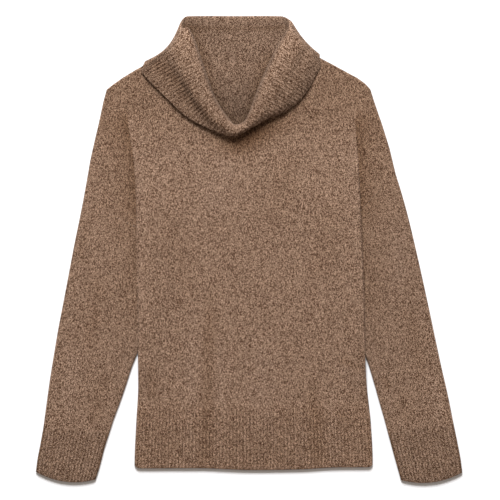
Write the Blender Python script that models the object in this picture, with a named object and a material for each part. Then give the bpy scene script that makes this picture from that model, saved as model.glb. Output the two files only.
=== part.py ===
"""A cowl neck sweater lying face up on a flat surface, one closed solid for each sewn piece.

All sizes below are in millimetres, with X to the picture's right, Y towards the collar and Z up.
Left and right are the picture's. The surface that the sweater lies on is Z = 0.
"""

import bpy
import bmesh
import numpy as np

MM = 0.001


def columns(names, rows):
    """A table as a dictionary with one array for each named column."""
    return dict(zip(names.split(), np.array(rows, float).T))


# Cloth and seams
WALL = 2.4
SEAM_GAP = 0.3
NECK_SEAM_GAP = 0.9
LAYER_GAP = 0.6
EDGE_ROUND = 1.6
EDGE_REACH = 3.0
UNDER_ROUNDING = 0.8
LIP_RIB_SHARE = 0.3
CUFF_LIP = 1.0
TUBE_NEAR_SHARE = 0.3
TUBE_NEAR_RISE = 0.18
TUBE_SIDE_ROOM = 0.3
SLEEVE_HEIGHT = 2 * WALL + LAYER_GAP

# Heights along the body
HEM_SEAM_Y = -233.0
CROTCH_Y = -166.0
LEFT_ARMHOLE_Y = 35.1
RIGHT_ARMHOLE_Y = 61.6
FOLD_START_Y = 194.0
FOLD_FULL_Y = 80.0
HIDDEN_SLEEVE = 34.0
SLOPE_RUN = 40.0

# The collar's back layer lies under the back panel and lifts it
NECK_MIDDLE_X = -20.0
BACK_ROLL = 1.8
NECK_LIFT = 2 * BACK_ROLL
NECK_LIFT_LOW_Y = 205.0
NECK_LIFT_FULL_Y = 266.0

# Ribbing
HEM_RIBS = 70
CUFF_RIBS = 18
RIB_DEPTH = 0.9
COLLAR_RIBS = 62

YARN_BROWN = (0.245, 0.158, 0.110, 1.0)

# The body's side edges, where it lies over the sleeves
BODY_EDGE = columns("y left_x right_x", (
    (-345.0, -177.4, 191.4),
    (-326.0, -177.2, 191.4),
    (-270.0, -174.8, 188.7),
    (-205.0, -171.4, 182.0),
    (-160.0, -171.8, 179.8),
    (-80.0, -172.4, 178.4),
    (0.0, -173.4, 175.4),
    (60.0, -174.0, 173.0),
    (108.0, -175.9, 170.5),
    (140.0, -178.3, 168.8),
    (170.0, -183.0, 166.3),
    (194.0, -187.0, 165.0),
    (268.0, -193.0, 166.0),
))

# The lower edge of the hem band
HEM_EDGE = columns("x y", (
    (-177.0, -336.5),
    (-161.0, -338.4),
    (-77.0, -338.1),
    (6.0, -341.0),
    (76.0, -339.9),
    (132.0, -336.8),
    (191.0, -336.5),
))

# The outer edge of each dropped shoulder, from the armhole seam up to the shoulder's corner
SHOULDER_SIDES = {
    "left": (
        (-257.0, 76.0),
        (-252.2, 102.3),
        (-245.8, 139.5),
        (-239.7, 167.0),
        (-233.0, 195.3),
        (-225.6, 230.0),
        (-220.5, 248.5),
    ),
    "right": (
        (226.8, 119.4),
        (217.6, 158.1),
        (206.0, 195.3),
        (199.5, 213.9),
        (193.4, 232.0),
        (188.0, 249.0),
    ),
}
SHOULDER_CROWNS = {"left": (-209.0, 257.5), "right": (180.0, 257.8)}

# The sleeves, as rows across the tube from the armhole to the cuff seam, then across the cuff
SLEEVE_COLUMNS = "outer_x outer_y inner_x inner_y shown fullness bow"
SLEEVES = {
    "left": columns(SLEEVE_COLUMNS, (
        (-257.0, 76.0, -141.1, 18.6, 0.71, 0.0, 0.0),
        (-263.5, 43.4, -144.9, -18.6, 0.75, 1.0, 0.0),
        (-270.5, 9.3, -151.1, -58.9, 0.80, 1.6, 0.0),
        (-278.7, -34.1, -159.7, -105.4, 0.88, 2.0, 0.0),
        (-287.5, -80.6, -169.7, -150.4, 0.95, 2.2, 0.0),
        (-295.3, -120.9, -180.6, -178.3, 1.0, 2.2, 0.0),
        (-302.1, -161.2, -189.9, -206.9, 1.0, 2.0, 0.0),
        (-308.1, -198.4, -200.0, -236.4, 1.0, 1.8, 0.0),
        (-313.3, -235.6, -209.3, -261.2, 1.0, 1.6, 0.0),
        (-318.7, -275.9, -216.5, -283.7, 1.0, 1.2, 0.0),
    )),
    "right": columns(SLEEVE_COLUMNS, (
        (226.8, 119.4, 145.7, 31.0, 0.62, 0.0, 0.0),
        (236.4, 88.4, 149.6, -9.3, 0.70, 1.0, 0.0),
        (245.8, 54.3, 155.0, -51.2, 0.76, 1.6, 0.0),
        (257.0, 7.8, 162.8, -99.2, 0.84, 2.0, 0.0),
        (268.2, -41.9, 173.6, -144.2, 0.93, 2.2, 0.0),
        (279.0, -91.5, 185.0, -177.5, 1.0, 2.2, 0.0),
        (289.1, -139.5, 194.1, -207.7, 1.0, 2.0, 0.0),
        (298.1, -181.4, 202.0, -235.6, 1.0, 1.8, 0.0),
        (307.7, -223.2, 209.1, -260.4, 1.0, 1.6, 0.0),
        (317.0, -269.7, 215.3, -283.7, 1.0, 1.2, 0.0),
    )),
}
CUFFS = {
    "left": columns(SLEEVE_COLUMNS, (
        (-318.7, -275.9, -216.5, -283.7, 1.0, 1.2, 0.0),
        (-323.2, -300.7, -223.5, -305.4, 1.0, 1.1, 2.0),
        (-327.7, -324.0, -230.0, -330.6, 1.0, 0.9, 6.0),
        (-330.2, -343.5, -237.5, -355.4, 1.0, 0.4, 9.5),
    )),
    "right": columns(SLEEVE_COLUMNS, (
        (317.0, -269.7, 215.3, -283.7, 1.0, 1.2, 0.0),
        (323.0, -298.7, 221.2, -305.4, 1.0, 1.1, 2.0),
        (327.8, -324.0, 228.2, -330.8, 1.0, 0.9, 6.0),
        (330.4, -344.6, 235.4, -356.4, 1.0, 0.4, 9.5),
    )),
}

# The largest soft folds of the front, as lines between two points. height is below zero for a trough.
FRONT_CREASES = columns("from_x from_y to_x to_y half_width height", (
    (-60.0, -60.0, -68.0, -338.0, 10.0, -0.8),
    (98.0, -232.0, 108.0, -338.0, 11.0, -0.8),
    (-152.0, -185.0, -150.0, -232.0, 8.0, -0.6),
    (138.0, -168.0, 178.0, -186.0, 6.0, -0.9),
))

# The collar, as sections round the neck from the middle of the back by the right shoulder.
# turn is -90 where the outer layer lies under the inner one, 90 where it lies on top. Half of the
# fold's height is roll, its highest line is crest in from the rim, top is the outer layer's height
# there, and z30 to z100 its height that far (in %) to its edge. seam is the neck seam's share of
# the way from the rim to the edge, bow bends a section sideways and tuck draws its edge in.
COLLAR = columns("rim_x rim_y edge_x edge_y turn roll crest top z30 z50 z70 z88 z100 seam bow tuck", (
    (-20.0, 361.2, -20.0, 276.0, -90, 1.8, 1.8, 1.2, 1.2, 1.2, 1.2, 1.2, 1.2, 0.82, 0.0, 0.0),
    (22.0, 361.4, 27.0, 278.0, -90, 1.8, 1.8, 1.2, 1.2, 1.2, 1.2, 1.2, 1.2, 0.81, 0.0, 0.0),
    (49.0, 361.0, 71.0, 285.0, -90, 1.8, 1.8, 1.2, 1.2, 1.2, 1.2, 1.2, 1.2, 0.72, -1.0, 0.0),
    (61.5, 357.0, 106.5, 298.6, -50, 2.3, 2.3, 1.3, 1.3, 1.3, 1.3, 1.3, 1.3, 0.52, -3.0, 0.0),
    (65.0, 352.5, 109.5, 301.6, 0, 2.0, 2.0, 6.2, 6.2, 6.2, 6.2, 6.2, 6.2, 0.48, -3.5, 0.0),
    (63.5, 346.5, 109.5, 296.0, 50, 2.3, 2.3, 12.4, 12.0, 11.6, 11.0, 10.7, 10.4, 0.46, -2.0, 0.0),
    (60.0, 340.0, 110.5, 285.2, 90, 5.0, 8.0, 17.6, 17.8, 16.0, 14.8, 12.0, 10.4, 0.45, 0.0, 0.0),
    (48.1, 320.9, 103.9, 271.2, 90, 8.0, 12.0, 23.6, 22.5, 18.5, 18.0, 13.8, 10.4, 0.45, 0.0, 0.0),
    (34.1, 294.5, 94.5, 252.7, 90, 10.0, 14.0, 27.6, 25.5, 21.0, 19.5, 15.0, 10.4, 0.45, 0.0, 0.0),
    (20.2, 263.5, 78.3, 231.7, 90, 10.0, 13.0, 27.6, 25.5, 21.5, 19.0, 14.8, 10.4, 0.45, 0.0, 0.0),
    (9.3, 235.6, 52.7, 212.8, 90, 9.0, 11.0, 25.6, 24.5, 21.5, 18.5, 14.5, 10.4, 0.45, 0.0, 0.0),
    (0.8, 212.3, 26.4, 200.7, 90, 7.5, 8.5, 22.6, 22.0, 20.2, 17.2, 14.0, 10.4, 0.50, 0.0, 1.5),
    (-7.8, 197.6, 6.0, 190.0, 90, 6.0, 6.0, 19.6, 19.3, 18.4, 16.4, 14.0, 10.4, 0.55, 0.0, 2.0),
    (-21.0, 193.0, -26.4, 175.2, 90, 6.5, 6.5, 20.6, 20.3, 19.5, 17.6, 14.8, 10.4, 0.55, 0.0, 3.0),
    (-38.0, 211.0, -62.0, 186.0, 90, 8.5, 9.0, 24.6, 24.0, 20.5, 15.5, 12.5, 10.4, 0.50, 0.0, 2.0),
    (-54.0, 237.8, -94.5, 204.6, 90, 10.0, 11.0, 27.6, 25.5, 17.0, 12.5, 11.4, 10.4, 0.45, 0.0, 0.0),
    (-66.0, 270.5, -130.2, 237.2, 90, 10.5, 11.5, 28.6, 25.0, 15.2, 11.8, 11.5, 11.2, 0.45, 0.0, 0.0),
    (-76.5, 301.2, -155.0, 261.9, 90, 10.0, 11.5, 27.6, 23.5, 14.4, 11.8, 13.2, 12.8, 0.45, 0.0, 0.0),
    (-85.5, 326.6, -165.1, 274.4, 90, 8.0, 10.0, 23.6, 20.5, 13.8, 11.8, 13.4, 13.2, 0.45, 0.0, 0.0),
    (-95.5, 343.0, -166.5, 279.6, 90, 4.5, 6.0, 16.6, 15.4, 12.8, 11.4, 12.4, 12.0, 0.45, -5.0, 0.0),
    (-103.0, 342.5, -162.5, 288.0, 50, 2.3, 2.3, 12.4, 12.0, 11.6, 11.0, 10.7, 10.4, 0.46, -8.5, 0.0),
    (-105.5, 347.5, -161.0, 291.0, 0, 2.0, 2.0, 6.2, 6.2, 6.2, 6.2, 6.2, 6.2, 0.48, -9.0, 0.0),
    (-104.0, 354.0, -158.0, 288.5, -50, 2.3, 2.3, 1.3, 1.3, 1.3, 1.3, 1.3, 1.3, 0.52, -9.0, 0.0),
    (-95.0, 361.0, -138.0, 283.0, -90, 1.8, 1.8, 1.2, 1.2, 1.2, 1.2, 1.2, 1.2, 0.72, -4.0, 0.0),
    (-62.0, 361.4, -74.0, 279.0, -90, 1.8, 1.8, 1.2, 1.2, 1.2, 1.2, 1.2, 1.2, 0.80, 0.0, 0.0),
))
COLLAR_NECK_POINTS = {"right": 4, "left": 21}
COLLAR_FRONT_FIRST = 5
COLLAR_FRONT_LAST = 20
COLLAR_FALLS = {"z30": 0.30, "z50": 0.50, "z70": 0.70, "z88": 0.88, "z100": 1.0}
COLLAR_ROLL_STEPS = (-90, -45, 0, 30, 60, 90)
COLLAR_INNER_STEPS = (1.0, 0.7, 0.4)
BACK_COLUMNS_EACH = 4
FOLD_THINNING = 0.45
TUCKED_TURN = 2.3

# The shoulder seams, from the body's edge line to the collar
SHOULDER_STARTS = {
    "left": ((-193.0, 268.3), (-178.0, 277.5)),
    "right": ((166.0, 267.5), (128.0, 288.0)),
}
SHOULDER_SHARE = 0.74
SHOULDER_TUCK = 3.8
NECK_POINT_REACH = 12.0
NECK_POINT_DROP = 9.0
NECK_POINT_GAP = 8.0

# How finely each piece is divided
EDGE_INSETS = np.array([0.0, 0.8, 3.0, 15.0, 30.0, 42.0, 54.0])
NECK_COLUMNS = 15
LOWER_ROWS = np.array([0.0, 0.13, 0.27, 0.41, 0.55, 0.69, 0.83, 1.0])
UPPER_ROWS = np.array([0.0, 0.08, 0.18, 0.3, 0.44, 0.58, 0.72, 0.85, 0.94, 0.985, 0.996, 1.0])
SHOULDER_SHARES = (0.35, 0.62, 0.86, 1.0)
HEM_ROWS = np.array([0.0, 0.35, 0.7, 0.97, 1.0])
HEM_BACK_COLUMNS = 15
SLEEVE_TOP_COLUMNS = 9
TUBE_UNDER_COLUMNS = 5


def ease(low, high, value):
    """A smooth step from 0 at low to 1 at high."""
    share = np.clip((np.asarray(value, float) - low) / (high - low), 0.0, 1.0)
    return share * share * (3.0 - 2.0 * share)


def smooth(at, knots, values):
    """A smooth curve through the values that never runs past them."""
    at = np.asarray(at, float)
    knots = np.asarray(knots, float)
    values = np.asarray(values, float)
    wide = (1,) * (values.ndim - 1)
    step = np.diff(knots).reshape(-1, *wide)
    slope = np.diff(values, axis=0) / step
    tangent = np.zeros_like(values)
    before, after = slope[:-1], slope[1:]
    same_way = before * after > 0
    total = np.where(same_way, before + after, 1.0)
    tangent[1:-1] = np.where(same_way, 2.0 * before * after / total, 0.0)
    tangent[0] = slope[0]
    tangent[-1] = slope[-1]
    first = np.clip(np.searchsorted(knots, at, side="right") - 1, 0, len(knots) - 2)
    span = step[first]
    t = ((at - knots[first]).reshape(at.shape + wide)) / span
    t2, t3 = t * t, t * t * t
    return (
        (2 * t3 - 3 * t2 + 1) * values[first]
        + (t3 - 2 * t2 + t) * span * tangent[first]
        + (3 * t2 - 2 * t3) * values[first + 1]
        + (t3 - t2) * span * tangent[first + 1]
    )


def along(points, shares):
    """Points at the given shares of a line's length."""
    points = np.asarray(points, float)
    lengths = np.linalg.norm(np.diff(points, axis=0), axis=1)
    run = np.concatenate([[0.0], np.cumsum(lengths)])
    at = np.asarray(shares) * run[-1]
    return np.stack([np.interp(at, run, points[:, k]) for k in range(points.shape[1])], axis=-1)


def body_edge(y):
    """X of the body's left and right edges at this height."""
    left = smooth(y, BODY_EDGE["y"], BODY_EDGE["left_x"])
    right = smooth(y, BODY_EDGE["y"], BODY_EDGE["right_x"])
    return left, right


def inset_from_sides(x, y):
    """How far inside its left and right edges a point of the body lies."""
    left, right = body_edge(y)
    return x - left, right - x


def sleeve_lift(x, y):
    """How far the body is carried up by the sleeves that it lies over."""
    length = ease(HEM_SEAM_Y, CROTCH_Y, y) * (1.0 - ease(RIGHT_ARMHOLE_Y + 8.0, RIGHT_ARMHOLE_Y + 60.0, y))
    hidden = np.interp(y, [CROTCH_Y, 20.0], [2.0, HIDDEN_SLEEVE])
    lift = np.zeros_like(np.asarray(x, float))
    for inset in inset_from_sides(x, y):
        lift = np.maximum(lift, 1.0 - ease(hidden + 7.0, hidden + 7.0 + SLOPE_RUN, inset))
    return (SLEEVE_HEIGHT + SEAM_GAP) * length * lift


def neck_lift(x, y):
    """How far the panels are carried up by the collar's layer under the back."""
    across = ease(-212.0, -169.0, x) * (1.0 - ease(112.0, 164.0, x))
    return NECK_LIFT * across * ease(NECK_LIFT_LOW_Y, NECK_LIFT_FULL_Y, y)


def creases(table, x, y):
    """The height that a table of soft troughs and ridges adds at each point."""
    height = np.zeros_like(np.asarray(x, float))
    for k in range(len(table["from_x"])):
        run_x = table["to_x"][k] - table["from_x"][k]
        run_y = table["to_y"][k] - table["from_y"][k]
        length = np.hypot(run_x, run_y)
        off_x, off_y = x - table["from_x"][k], y - table["from_y"][k]
        share = (off_x * run_x + off_y * run_y) / length**2
        away = np.abs(off_x * run_y - off_y * run_x) / length
        fade = ease(-0.12, 0.25, share) * (1.0 - ease(0.85, 1.15, share))
        height = height + table["height"][k] * fade * np.exp(-((away / table["half_width"][k]) ** 2))
    return height


def fullness(x, y):
    """The small loft of the front over the back."""
    left, right = inset_from_sides(x, y)
    inside = ease(3.0, 120.0, left) * ease(3.0, 120.0, right)
    length = ease(-342.0, -260.0, y) * (1.0 - ease(90.0, 165.0, y))
    return 2.4 * inside * length


def side_fold(x, y):
    """The front's step along its folded sides, above the armholes."""
    inset = np.minimum(*inset_from_sides(x, y))
    height = SLEEVE_HEIGHT * (1.0 - ease(FOLD_FULL_Y, FOLD_START_Y, y)) * ease(0.0, 30.0, y)
    wanted = height * (1.0 - ease(4.0, 60.0, inset)) * (inset >= -0.01)
    return np.maximum(wanted - sleeve_lift(x, y), 0.0)


def collar_state(at):
    """The collar's sections at places counted in rows of its table, round and round."""
    count = len(COLLAR["rim_x"])
    knots = np.arange(-3, count + 3)
    at = np.asarray(at, float) % count
    return {
        name: smooth(at, knots, np.concatenate([values[-3:], values, values[:3]]))[:, None]
        for name, values in COLLAR.items()
    }


def collar_lines(at):
    """Each section's state, with its rim and edge in plan and the ways down and out of it."""
    state = collar_state(at)
    rim = np.hstack([state["rim_x"], state["rim_y"]])
    edge = np.hstack([state["edge_x"], state["edge_y"]])
    run = edge - rim
    down = run / np.linalg.norm(run, axis=1, keepdims=True)
    out = np.stack([down[:, 1], -down[:, 0]], axis=1)
    out *= np.where(rim[:, :1] > NECK_MIDDLE_X, -1.0, 1.0)
    return state, rim, edge, down, out


def collar_seam(at):
    """The neck seam in plan."""
    state, rim, edge, _, out = collar_lines(at)
    sideways = np.cos(np.radians(state["turn"])) * 2.0 * state["roll"]
    bow = state["bow"] * np.sin(np.pi * state["seam"])
    return rim + (edge - rim) * state["seam"] + out * (bow - sideways)


def flat(plan):
    """Points of a plan, on the floor."""
    return np.concatenate([plan, np.zeros((len(plan), 1))], axis=1)


def collar_middle(at):
    """The middle of the collar's wall, as rows from the neck seam over the rim to the free edge."""
    state, rim, edge, down, out = collar_lines(at)
    turn, bow, crest = np.radians(state["turn"]), state["bow"], state["crest"]
    up = np.array([[0.0, 0.0, 1.0]])
    away = flat(out) * np.cos(turn) + up * np.sin(turn)
    deep = 2.0 * state["roll"]
    small = np.minimum(state["roll"], TUCKED_TURN)
    front_height = NECK_LIFT + WALL * 1.5 + SEAM_GAP
    back_height = NECK_LIFT + WALL / 2
    between = (back_height + front_height) / 2
    heights = (back_height, back_height, between, front_height, front_height)
    seam_height = np.interp(state["turn"], (-90.0, -50.0, 0.0, 50.0, 90.0), heights)
    rim_top = flat(rim) + up * state["top"]
    inner_start = rim_top + flat(down) * small - away * deep
    end = flat(collar_seam(at)) + up * seam_height
    straight = end - flat(out) * bow * np.sin(np.pi * state["seam"])
    rows = []
    for part in COLLAR_INNER_STEPS:
        shift = bow * np.sin(np.pi * state["seam"] * part)
        rows.append(inner_start + (straight - inner_start) * part + flat(out) * shift)
    for swing in np.radians(COLLAR_ROLL_STEPS):
        along_down = small if swing < 0.0 else crest
        along_away = small if swing < 0.0 else deep - small
        point = rim_top + flat(down) * along_down * (1.0 - np.cos(swing))
        rows.append(point + away * (small - deep + along_away * np.sin(swing)))
    start = flat(rim + down * crest)
    reach = flat(edge) - start
    for name, fall in COLLAR_FALLS.items():
        point = start + reach * fall + flat(out) * bow * np.sin(np.pi * fall)
        rows.append(point + up * state[name])
    rows[-1] = rows[-1] - flat(down) * state["tuck"]
    return np.stack(rows)


def collar_places():
    """Even rib columns over the front, a few columns round the flat back, and the front's count."""
    dense = np.linspace(COLLAR_FRONT_FIRST, COLLAR_FRONT_LAST, 900)
    _, rim, edge, _, _ = collar_lines(dense)
    middle = 0.45 * rim + 0.55 * edge
    run = np.concatenate([[0.0], np.cumsum(np.linalg.norm(np.diff(middle, axis=0), axis=1))])
    even = np.linspace(0.0, run[-1], 2 * COLLAR_RIBS + 1)
    front = np.interp(even, run, dense)
    gaps = len(COLLAR["rim_x"]) - COLLAR_FRONT_LAST + COLLAR_FRONT_FIRST
    back = COLLAR_FRONT_LAST + np.arange(1, gaps * BACK_COLUMNS_EACH) / BACK_COLUMNS_EACH
    return np.concatenate([front, back]), len(front)


def normals_of(middle):
    """Unit normals of a grid of points that closes on itself along its columns."""
    across = np.roll(middle, -1, axis=1) - np.roll(middle, 1, axis=1)
    lengthwise = np.gradient(middle, axis=0)
    normal = np.cross(lengthwise, across)
    return normal / np.linalg.norm(normal, axis=2, keepdims=True)


def material_for(name):
    material = bpy.data.materials.new(name)
    material.use_nodes = True
    shader = material.node_tree.nodes["Principled BSDF"]
    shader.inputs["Base Color"].default_value = YARN_BROWN
    shader.inputs["Roughness"].default_value = 0.95
    shader.inputs["Metallic"].default_value = 0.0
    material.diffuse_color = YARN_BROWN
    return material


def wall(name, outside, inside, cells=None, closed=False, inside_step=1):
    """A closed wall between two grids of points. The inside may have every few columns only."""
    rows, columns = outside.shape[:2]
    groups = columns if closed else columns - 1
    if cells is None:
        cells = np.ones((rows - 1, groups), bool)
    mesh = bmesh.new()
    made = {}

    def vertex(side, row, column):
        grid = outside if side == "out" else inside
        column %= grid.shape[1]
        key = (side, row, column)
        if key not in made:
            made[key] = mesh.verts.new(grid[row, column] * MM)
        return made[key]

    def face(*corners):
        mesh.faces.new([vertex(*corner) for corner in corners])

    def filled(row, column):
        if not 0 <= row < rows - 1:
            return False
        if closed:
            return bool(cells[row, column % groups])
        return 0 <= column < groups and bool(cells[row, column])

    for row in range(rows - 1):
        for column in range(groups):
            if not filled(row, column):
                continue
            corners = ((row, column), (row, column + 1), (row + 1, column + 1), (row + 1, column))
            face(*(("out", r, c) for r, c in corners))
            if not filled(row, column - 1):
                inner = column // inside_step
                face(
                    ("out", row, column), ("out", row + 1, column),
                    ("in", row + 1, inner), ("in", row, inner),
                )
            if not filled(row, column + 1):
                inner = (column + 1) // inside_step
                face(
                    ("out", row + 1, column + 1), ("out", row, column + 1),
                    ("in", row, inner), ("in", row + 1, inner),
                )
        for inner in range(groups // inside_step):
            first = inner * inside_step
            if not filled(row, first):
                continue
            face(
                ("in", row, inner), ("in", row + 1, inner),
                ("in", row + 1, inner + 1), ("in", row, inner + 1),
            )
            outer = [first + k for k in range(inside_step + 1)]
            if not filled(row - 1, first):
                upper_edge = [("out", row, c) for c in reversed(outer)]
                face(*upper_edge, ("in", row, inner), ("in", row, inner + 1))
            if not filled(row + 1, first):
                lower_edge = [("out", row + 1, c) for c in outer]
                face(*lower_edge, ("in", row + 1, inner + 1), ("in", row + 1, inner))

    if mesh.calc_volume(signed=True) < 0.0:
        bmesh.ops.reverse_faces(mesh, faces=mesh.faces)
    data = bpy.data.meshes.new(name)
    mesh.to_mesh(data)
    mesh.free()
    data.shade_smooth()
    data.set_sharp_from_angle(angle=np.radians(50.0))
    data.materials.append(material_for(name + "_yarn"))
    piece = bpy.data.objects.new(name, data)
    bpy.context.scene.collection.objects.link(piece)
    return piece


def shoulder_points(side):
    """The shoulder seam from the body's edge line to the neck point, under the collar at its end."""
    ring = COLLAR_NECK_POINTS[side]
    state, rim, edge, down, out = collar_lines([ring])
    line_end = edge[0] - out[0] * SHOULDER_TUCK
    bow = state["bow"][0] * np.sin(np.pi * SHOULDER_SHARE)
    between = rim[0] + (edge[0] - rim[0]) * SHOULDER_SHARE + out[0] * (bow - SHOULDER_TUCK)
    neck = collar_seam([ring])[0] + down[0] * NECK_POINT_DROP
    start, visible = np.array(SHOULDER_STARTS[side])
    return start, np.array([visible, line_end, between, neck])


def top_edge(kind):
    """The upper edge of a body panel, from its left edge line over the neck to the right one."""
    sides = {}
    for side in ("left", "right"):
        start, rest = shoulder_points(side)
        way = (rest[0] - start) / np.linalg.norm(rest[0] - start)
        close = [start + way * inset for inset in EDGE_INSETS[EDGE_INSETS <= EDGE_REACH]]
        sides[side] = np.concatenate([close, rest])
    left, right = sides["left"], sides["right"]
    if kind == "front":
        places = np.linspace(COLLAR_FRONT_LAST, COLLAR_FRONT_FIRST, 200)
    else:
        places = np.linspace(COLLAR_FRONT_LAST + 2.0, len(COLLAR["rim_x"]) + 3.0, 200)
    down = collar_lines(places)[3]
    seam = collar_seam(places)
    near = np.minimum(np.linalg.norm(seam - left[-1], axis=1), np.linalg.norm(seam - right[-1], axis=1))
    neck = seam + down * (NECK_SEAM_GAP + NECK_POINT_GAP * np.exp(-near / NECK_POINT_REACH))[:, None]
    far_left = np.linalg.norm(neck - left[-1], axis=1) > NECK_POINT_REACH
    far_right = np.linalg.norm(neck - right[-1], axis=1) > NECK_POINT_REACH
    neck = np.concatenate([left[-1:], neck[far_left & far_right], right[-1:]])
    neck = along(neck, np.linspace(0.0, 1.0, NECK_COLUMNS + 2)[1:-1])
    return np.concatenate([left, neck, right[::-1]])


def coons(bottom, top, left, right, across, up):
    """A patch filled in between four edges."""
    u, v = across[None, :, None], up[:, None, None]
    ruled = (1 - v) * bottom[None] + v * top[None]
    left_off = left - ((1 - up[:, None]) * bottom[0] + up[:, None] * top[0])
    right_off = right - ((1 - up[:, None]) * bottom[-1] + up[:, None] * top[-1])
    return ruled + (1 - u) ** 2 * left_off[:, None] + u**2 * right_off[:, None]


def panel_plan(kind):
    """A body panel in plan, with the cells that it fills and each point's distance from its edges."""
    insets = EDGE_INSETS
    top = top_edge(kind)
    across = np.linspace(0.0, 1.0, len(top))
    junction_y = LEFT_ARMHOLE_Y + (RIGHT_ARMHOLE_Y - LEFT_ARMHOLE_Y) * across
    seam_y = HEM_SEAM_Y + SEAM_GAP

    def row_at(y):
        left, right = body_edge(y)
        middle = np.linspace(0.0, 1.0, NECK_COLUMNS + 2)[1:-1]
        start = left[len(insets) - 1] + insets[-1]
        finish = right[-len(insets)] - insets[-1]
        return np.concatenate([
            left[: len(insets)] + insets,
            start + (finish - start) * middle,
            right[-len(insets) :] - insets[::-1],
        ])

    plan = []
    for share in LOWER_ROWS[:-1]:
        y = seam_y + (junction_y - seam_y) * share
        plan.append(np.stack([row_at(y), y], axis=1))
    bottom = np.stack([row_at(junction_y), junction_y], axis=1)
    edge_left = junction_y[0] + (top[0, 1] - junction_y[0]) * UPPER_ROWS
    edge_right = junction_y[-1] + (top[-1, 1] - junction_y[-1]) * UPPER_ROWS
    left = np.stack([body_edge(edge_left)[0], edge_left], axis=1)
    right = np.stack([body_edge(edge_right)[1], edge_right], axis=1)
    left[-1], right[-1] = top[0], top[-1]
    body = np.concatenate([np.array(plan), coons(bottom, top, left, right, across, UPPER_ROWS)])

    close = insets[insets <= EDGE_REACH]
    drop = len(close) + len(SHOULDER_SHARES)
    rows, count = len(body), len(top) + 2 * drop
    whole = np.zeros((rows, count, 2))
    whole[:, drop:-drop] = body
    first_upper = len(LOWER_ROWS) - 1
    near_edge = np.full((rows, count), 99.0)
    from_top = (1.0 - UPPER_ROWS)[:, None] * np.linalg.norm(top - bottom, axis=1)[None]
    on_shoulder = np.zeros(len(top), bool)
    on_shoulder[: len(insets)] = True
    on_shoulder[-len(insets) :] = True
    near_edge[first_upper:, drop:-drop] = np.where(on_shoulder, from_top, 99.0)
    for row in range(first_upper + 1):
        near_edge[row, drop : drop + len(insets)] = insets
        near_edge[row, -drop - len(insets) : count - drop] = insets[::-1]

    for side, body_side, sign in (("left", left, 1.0), ("right", right, -1.0)):
        foot = body_side - np.array([[sign * 0.5, 0.0]])
        outer = along(SHOULDER_SIDES[side], UPPER_ROWS)
        crown = np.array([outer[-1], SHOULDER_CROWNS[side], foot[-1]])
        width = np.linalg.norm(outer - foot, axis=1)
        far = np.broadcast_to(np.array(SHOULDER_SHARES), (rows - first_upper, len(SHOULDER_SHARES)))
        shares = np.concatenate([close[None] / width[:, None], far], axis=1)
        arch = along(crown, shares[-1]) - (outer[-1] + (foot[-1] - outer[-1]) * shares[-1][:, None])
        bend = (UPPER_ROWS**4)[:, None, None] * arch[None]
        zone = outer[:, None] + (foot - outer)[:, None] * shares[..., None] + bend
        inset = np.minimum(shares * width[:, None], ((1.0 - UPPER_ROWS) * 170.0)[:, None])
        if side == "left":
            whole[first_upper:, :drop] = zone
            near_edge[first_upper:, :drop] = inset
        else:
            whole[first_upper:, -drop:] = zone[:, ::-1]
            near_edge[first_upper:, -drop:] = inset[:, ::-1]

    cells = np.ones((rows - 1, count - 1), bool)
    cells[:first_upper, :drop] = False
    cells[:first_upper, -drop:] = False
    return whole, near_edge, cells, drop, first_upper


def rounding(near_edge):
    """How far a free edge's outer side has curved towards the other layer."""
    return EDGE_ROUND * np.clip(1.0 - near_edge / EDGE_REACH, 0.0, 1.0) ** 2


def back_top(x, y, zone):
    """The height of the back's upper side. zone marks the dropped shoulders, which lie low."""
    lift = np.maximum(sleeve_lift(x, y), neck_lift(x, y))
    return np.where(zone, neck_lift(x, y), lift) + WALL


def with_height(plan, height):
    return np.concatenate([plan, height[..., None]], axis=-1)


def zone_of(whole, drop):
    """Which of a panel's points belong to its dropped shoulders."""
    zone = np.zeros(whole.shape[:2], bool)
    zone[:, :drop] = True
    zone[:, -drop:] = True
    return zone


def shifted_in(plan, drop, first_upper, amounts):
    """A copy of a panel's plan whose step along the body's edge lies further in, above the armholes."""
    moved = plan.copy()
    for row in range(first_upper + 1, len(plan)):
        for side in (1, -1):
            edge = drop if side > 0 else plan.shape[1] - 1 - drop
            share = 1.0 - ease(FOLD_START_Y - 30.0, FOLD_START_Y, plan[row, edge, 1])
            for k, amount in enumerate(amounts):
                moved[row, edge + side * (k - 1), 0] += side * amount * share
    return moved


def build_back():
    plan, near_edge, cells, drop, first_upper = panel_plan("back")
    top_plan = shifted_in(plan, drop, first_upper, (1.6, 2.9, 3.4, 3.6))
    x, y = plan[..., 0], plan[..., 1]
    steps = np.arange(len(plan))[:, None] > first_upper
    beside = np.zeros(x.shape, bool)
    near = int((EDGE_INSETS <= EDGE_REACH).sum())
    beside[:, drop : drop + near] = True
    beside[:, -drop - near : -drop] = True
    upper = back_top(x, y, zone_of(plan, drop) | (steps & beside))
    under = upper - WALL + rounding(near_edge) * UNDER_ROUNDING
    wall("back", with_height(top_plan, upper), with_height(top_plan, under), cells)


def front_heights(x, y, zone, near_edge):
    """The front's under and upper sides."""
    gap = SEAM_GAP + (LAYER_GAP - SEAM_GAP) * ease(0.0, EDGE_REACH, near_edge)
    relief = creases(FRONT_CREASES, x, y) * ease(20.0, 60.0, near_edge)
    loft = np.where(zone, 0.0, fullness(x, y) + side_fold(x, y) + relief)
    under = back_top(x, y, zone) + gap + np.maximum(loft, 0.0)
    return under, under + WALL - rounding(near_edge)


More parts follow.
